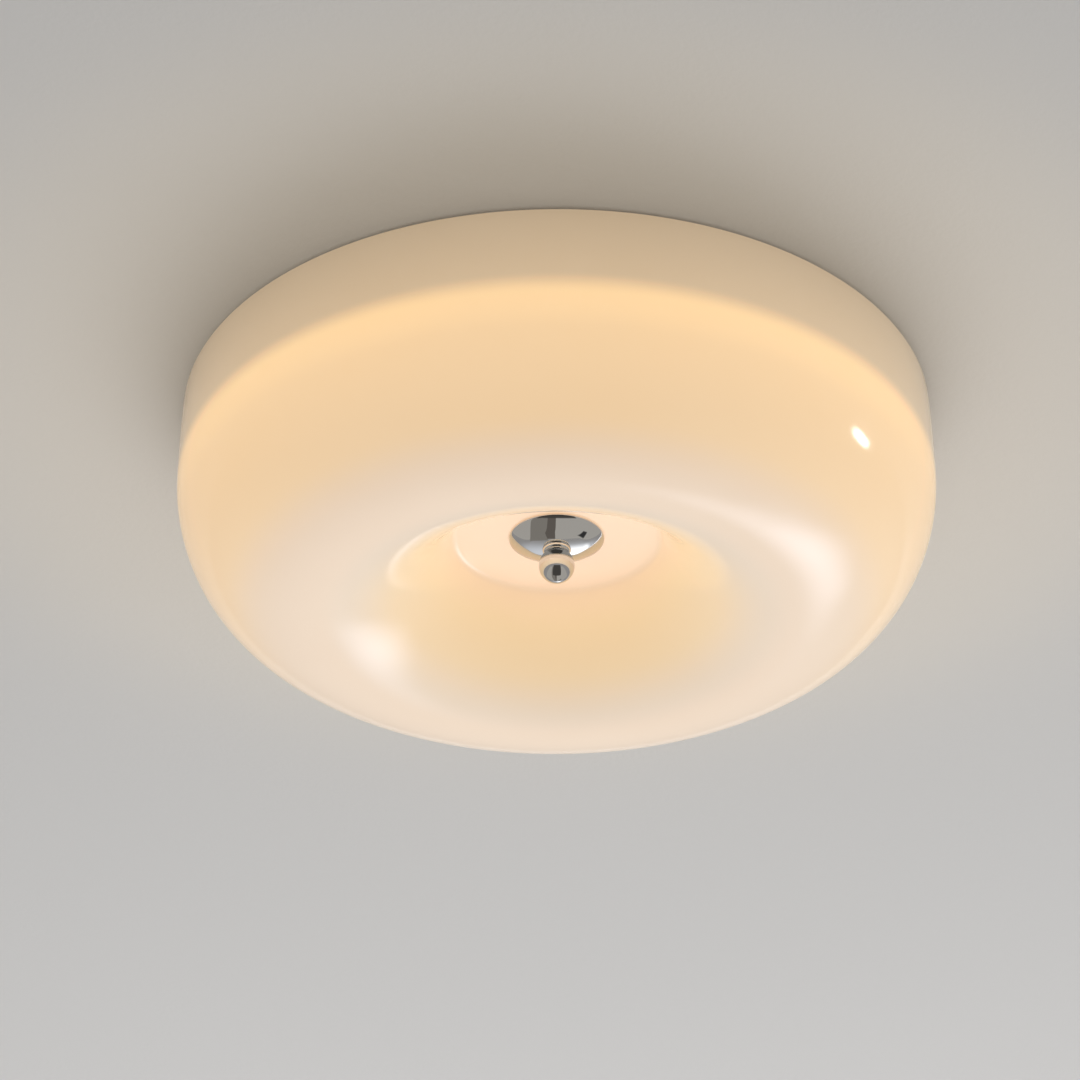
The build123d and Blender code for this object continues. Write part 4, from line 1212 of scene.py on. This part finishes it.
class LAMP_OT_stage(bpy.types.Operator):
    """Sets the camera, the ceiling, the floor and the light"""

    bl_idname = "lamp.stage"
    bl_label = "Stage"

    def execute(self, context):
        stage = context.scene.lamp_stage
        self.camera(context, stage)
        self.ceiling(context.scene.opal_glass, stage)
        self.floor(stage)
        self.room(context, stage)
        self.cards(stage.window_level)
        self.spill(context.scene.opal_glass)
        context.scene.view_settings.view_transform = "Standard"
        return {"FINISHED"}

    def camera(self, context, stage):
        """A long lens, below the light and in front of it, a degree or so off its axis."""
        data = bpy.data.cameras.new("Camera")
        data.sensor_width, data.lens, data.clip_end = 36.0, stage.focal_length, 100.0
        camera = context.scene.camera = placed("Camera", data)
        away, rise = -stage.camera_distance, stage.camera_elevation
        place = Vector((0.0, away * math.cos(rise), away * math.sin(rise)))
        ahead = (-place).normalized()
        across = ahead.cross(Vector((0, 0, 1))).normalized()
        aim = Matrix.Identity(3)
        for degrees, axis in ((0.222, "Z"), (1.626, "X"), (-0.232, "Y")):  # places the light in the frame
            aim = aim @ Matrix.Rotation(math.radians(degrees), 3, axis)
        aim = aim @ Matrix((across, across.cross(ahead), -ahead))
        camera.matrix_world = Matrix.Translation(place) @ aim.transposed().to_4x4()

    def ceiling(self, glass, stage):
        """Painted ceiling, open over the pan. It is clear from above, and partly to the light on the rim."""
        nodes = Finish("Ceiling Paint", Roughness=0.85, Specular_IOR_Level=0.2)
        grain = nodes.grain(260.0, 1.2)
        dimmer = [channel * 0.985 for channel in stage.ceiling_colour]
        nodes.set(Base_Color=nodes.mix(grain["Cloud"], stage.ceiling_colour, dimmer))
        nodes.bump(grain["Height"], 0.0002)
        radius, edge, play = nodes.reach(nodes.place), glass.shade_radius - glass.rim_draw, 0.0005
        inside = nodes.spread(radius, edge, edge + play, 1.0, 0.0)
        outside = nodes.spread(radius, edge - glass.wall - play, edge - glass.wall)
        over_rim = nodes.product(nodes.product(inside, outside), 0.6)
        unseen = nodes.difference(1.0, nodes.rays()["Is Camera Ray"])
        gone = nodes.maths("MAXIMUM", nodes.behind(), nodes.product(unseen, over_rim))
        material = nodes.show(nodes.either(gone, nodes.shader.outputs[0], nodes.clear()))
        opening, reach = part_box("chassis_pan")[1].x + play, 6.0
        staged("ceiling", flat_ring("ceiling", opening, reach, 128, 0.0, up=False), material)

    def floor(self, stage):
        """Pale floor of the room under the light, which fades into the backdrop."""
        mesh = bpy.data.meshes.new("floor")
        with shaping(mesh) as work:
            bmesh.ops.create_grid(work, x_segments=1, y_segments=1, size=12.0)
            bmesh.ops.translate(work, verts=work.verts, vec=(0, 0, -stage.floor_drop))
        nodes = Finish("Floor", Roughness=0.7, Base_Color=stage.floor_colour)
        fade_from, fade_to = 2.5, 8.0
        far = nodes.spread(nodes.reach(nodes.place), fade_from, fade_to, smooth=True)
        backdrop = [BACKDROP_LEVEL * channel for channel in ROOM_TINT]
        seen = nodes.glow(nodes.mix(far, stage.floor_colour, backdrop))
        share = nodes.product(nodes.rays()["Is Camera Ray"], nodes.maths("MULTIPLY_ADD", far, 0.3, 0.7))
        material = nodes.show(nodes.either(share, nodes.shader.outputs[0], seen))
        staged("floor", mesh, material, visible_diffuse=False, visible_glossy=False)

    def room(self, context, stage):
        """Even light from the room, which the camera and the reflections see at levels of their own."""
        world = context.scene.world = bpy.data.worlds.new("Room")
        world.use_nodes = True
        nodes = Tree(world.node_tree)
        up = nodes.axes(nodes.add("ShaderNodeTexCoord").outputs["Generated"])[2]
        level, rays = nodes.spread(up, -0.02, 0.06, stage.room_level, SKY_LEVEL), nodes.rays()
        level = nodes.level(rays["Is Glossy Ray"], level, MIRRORED_LEVEL)
        level = nodes.level(rays["Is Camera Ray"], level, BACKDROP_LEVEL)
        back = nodes.tree.nodes["Background"]
        nodes.feed(back.inputs["Strength"], level)
        nodes.feed(back.inputs["Color"], ROOM_TINT)

    def cards(self, bright):
        """Windows, a lamp, and what else of the room the light is lit by or mirrors."""
        for name, seen_by, azimuth, elevation, distance, size, level, soft, shape in (
            ("fill_card", "paint", 8, -43, 3.2, (5.4, 3.4), (bright, bright, bright * 1.02), 1.0, {}),
            ("lamp_card", "both", 84.5, -5.5, 2.6, (0.46, 0.30), (45, 43, 40), 0.9, {}),
            ("window_card", "sheen", 27, -40, 3.0, (2.3, 1.6),
             (bright * 0.70, bright * 0.74, bright * 0.87), 1.0, {}),
            ("floor_card", "mirror", 4, -27, 3.2, (2.8, 1.1), (0.88, 0.93, 1.0), 1.0, {}),
            ("glare_card", "mirror", 6.5, -26, 3.0, (0.9, 0.8), (1.9, 1.95, 2.0), 0.8, {}),
            ("boards_card", "mirror", 0, -90, 2.1, (6.0, 5.8), (0.46, 0.445, 0.41), 0.05, {}),
            ("door_card", "mirror", -81.7, -72, 2.05, (5.4, 1.02),
             (0.25, 0.235, 0.21), 0.01, {"taper": 0.28}),
            ("post_card", "mirror", -87.8, -85.2, 2.0, (5.3, 0.48),
             (0.14, 0.125, 0.11), 0.01, {"taper": 0.2}),
            ("stand_card", "mirror", 17, -44, 1.9, (0.15, 0.6), (0.04, 0.04, 0.04), 0.4, {"roll": 55}),
            ("back_card", "mirror", 178, -62, 1.6, (1.5, 2.3), (0.07, 0.066, 0.06), 0.12, {}),
        ):
            self.card(name, seen_by, azimuth, elevation, distance, size, level, soft, **shape)

    def card(self, name, seen_by, azimuth, elevation, distance, size, level, soft, taper=1.0, roll=0):
        """A soft card that faces the light: azimuth from +Y towards +X and elevation from the ceiling, in
        degrees. seen_by is paint, mirror for sharp reflections, sheen for dull ones, or both for all."""
        turn, tilt = math.radians(azimuth), math.radians(elevation)
        flat = math.cos(tilt)
        place = distance * Vector((math.sin(turn) * flat, math.cos(turn) * flat, math.sin(tilt)))
        half_w, half_h = size[0] / 2, size[1] / 2
        far_h = half_h * taper
        corners = [(-half_w, -half_h, 0), (half_w, -far_h, 0), (half_w, far_h, 0), (-half_w, half_h, 0)]
        mesh = bpy.data.meshes.new(name)
        mesh.from_pydata(corners, [], [(0, 1, 2, 3)])
        nodes = Finish(name)
        masks = []
        for axis, half in zip(nodes.axes(nodes.place), (half_w, half_h)):
            inward = nodes.difference(half, nodes.maths("ABSOLUTE", axis))
            masks.append(nodes.spread(inward, 0.0, max(soft * half, 0.001), smooth=True))
        mask = nodes.product(*masks)
        sharp = nodes.rays()["Is Singular Ray"]
        if seen_by == "mirror":
            mask = nodes.product(mask, sharp)
        elif seen_by == "sheen":
            mask = nodes.product(mask, nodes.difference(1.0, sharp))
        toward = Matrix.Rotation(-turn, 4, "Z") @ Matrix.Rotation(math.pi / 2 + tilt, 4, "X")
        staged(
            name, mesh, nodes.show(nodes.either(mask, nodes.clear(), nodes.glow(level)), alone=True),
            matrix_world=Matrix.Translation(place) @ toward @ Matrix.Rotation(math.radians(roll), 4, "Z"),
            visible_camera=False, visible_shadow=False, visible_diffuse=seen_by in ("both", "paint"),
            visible_glossy=seen_by != "paint",
        )

    def spill(self, glass):
        """Light that the lit glass throws up on the ceiling just round it, from an unseen ring."""
        nodes = Finish("Spill")
        glow = nodes.glow((0.17, 0.115, 0.03), nodes.difference(1.0, nodes.behind()))
        material = nodes.show(nodes.out("ShaderNodeAddShader", {0: glow, 1: nodes.clear()}), alone=True)
        inner, outer = (glass.shade_radius + gap for gap in (0.006, 0.15))
        staged(
            "spill", flat_ring("spill", inner, outer, 64, -0.07, up=True), material,
            visible_camera=False, visible_shadow=False, visible_glossy=False, visible_transmission=False,
        )


class LAMP_PT_panel(bpy.types.Panel):
    """Lists the steps that build the light"""

    bl_idname = "LAMP_PT_panel"
    bl_label = "Ceiling Light"
    bl_space_type = "VIEW_3D"
    bl_region_type = "UI"
    bl_category = "Ceiling Light"

    def draw(self, context):
        for group, kind in SETTINGS.items():
            box = self.layout.box()
            for key in kind.__annotations__:
                box.prop(getattr(context.scene, group), key)
        for step in STEPS:
            self.layout.operator(step.bl_idname)


STEPS = (
    LAMP_OT_stage, LAMP_OT_glass_shade, LAMP_OT_chrome_cap, LAMP_OT_ball_finial, LAMP_OT_clamp_stack,
    LAMP_OT_threaded_rod, LAMP_OT_pan, LAMP_OT_led_board, LAMP_OT_screws, LAMP_OT_driver,
    LAMP_OT_terminals, LAMP_OT_wiring,
)
SETTINGS = {
    "opal_glass": OpalGlassSettings,
    "chrome_fittings": ChromeSettings,
    "lamp_chassis": ChassisSettings,
    "lamp_stage": StageSettings,
}


def register():
    for kind in (*SETTINGS.values(), *STEPS, LAMP_PT_panel):
        bpy.utils.register_class(kind)
    for key, kind in SETTINGS.items():
        setattr(bpy.types.Scene, key, bpy.props.PointerProperty(type=kind))


def unregister():
    for key in SETTINGS:
        delattr(bpy.types.Scene, key)
    for kind in (LAMP_PT_panel, *reversed(STEPS), *reversed(SETTINGS.values())):
        bpy.utils.unregister_class(kind)


def main():
    """Builds the light and its stage."""
    register()
    for step in STEPS:
        area, name = step.bl_idname.split(".")
        getattr(getattr(bpy.ops, area), name)()


if __name__ == "__main__":
    main()
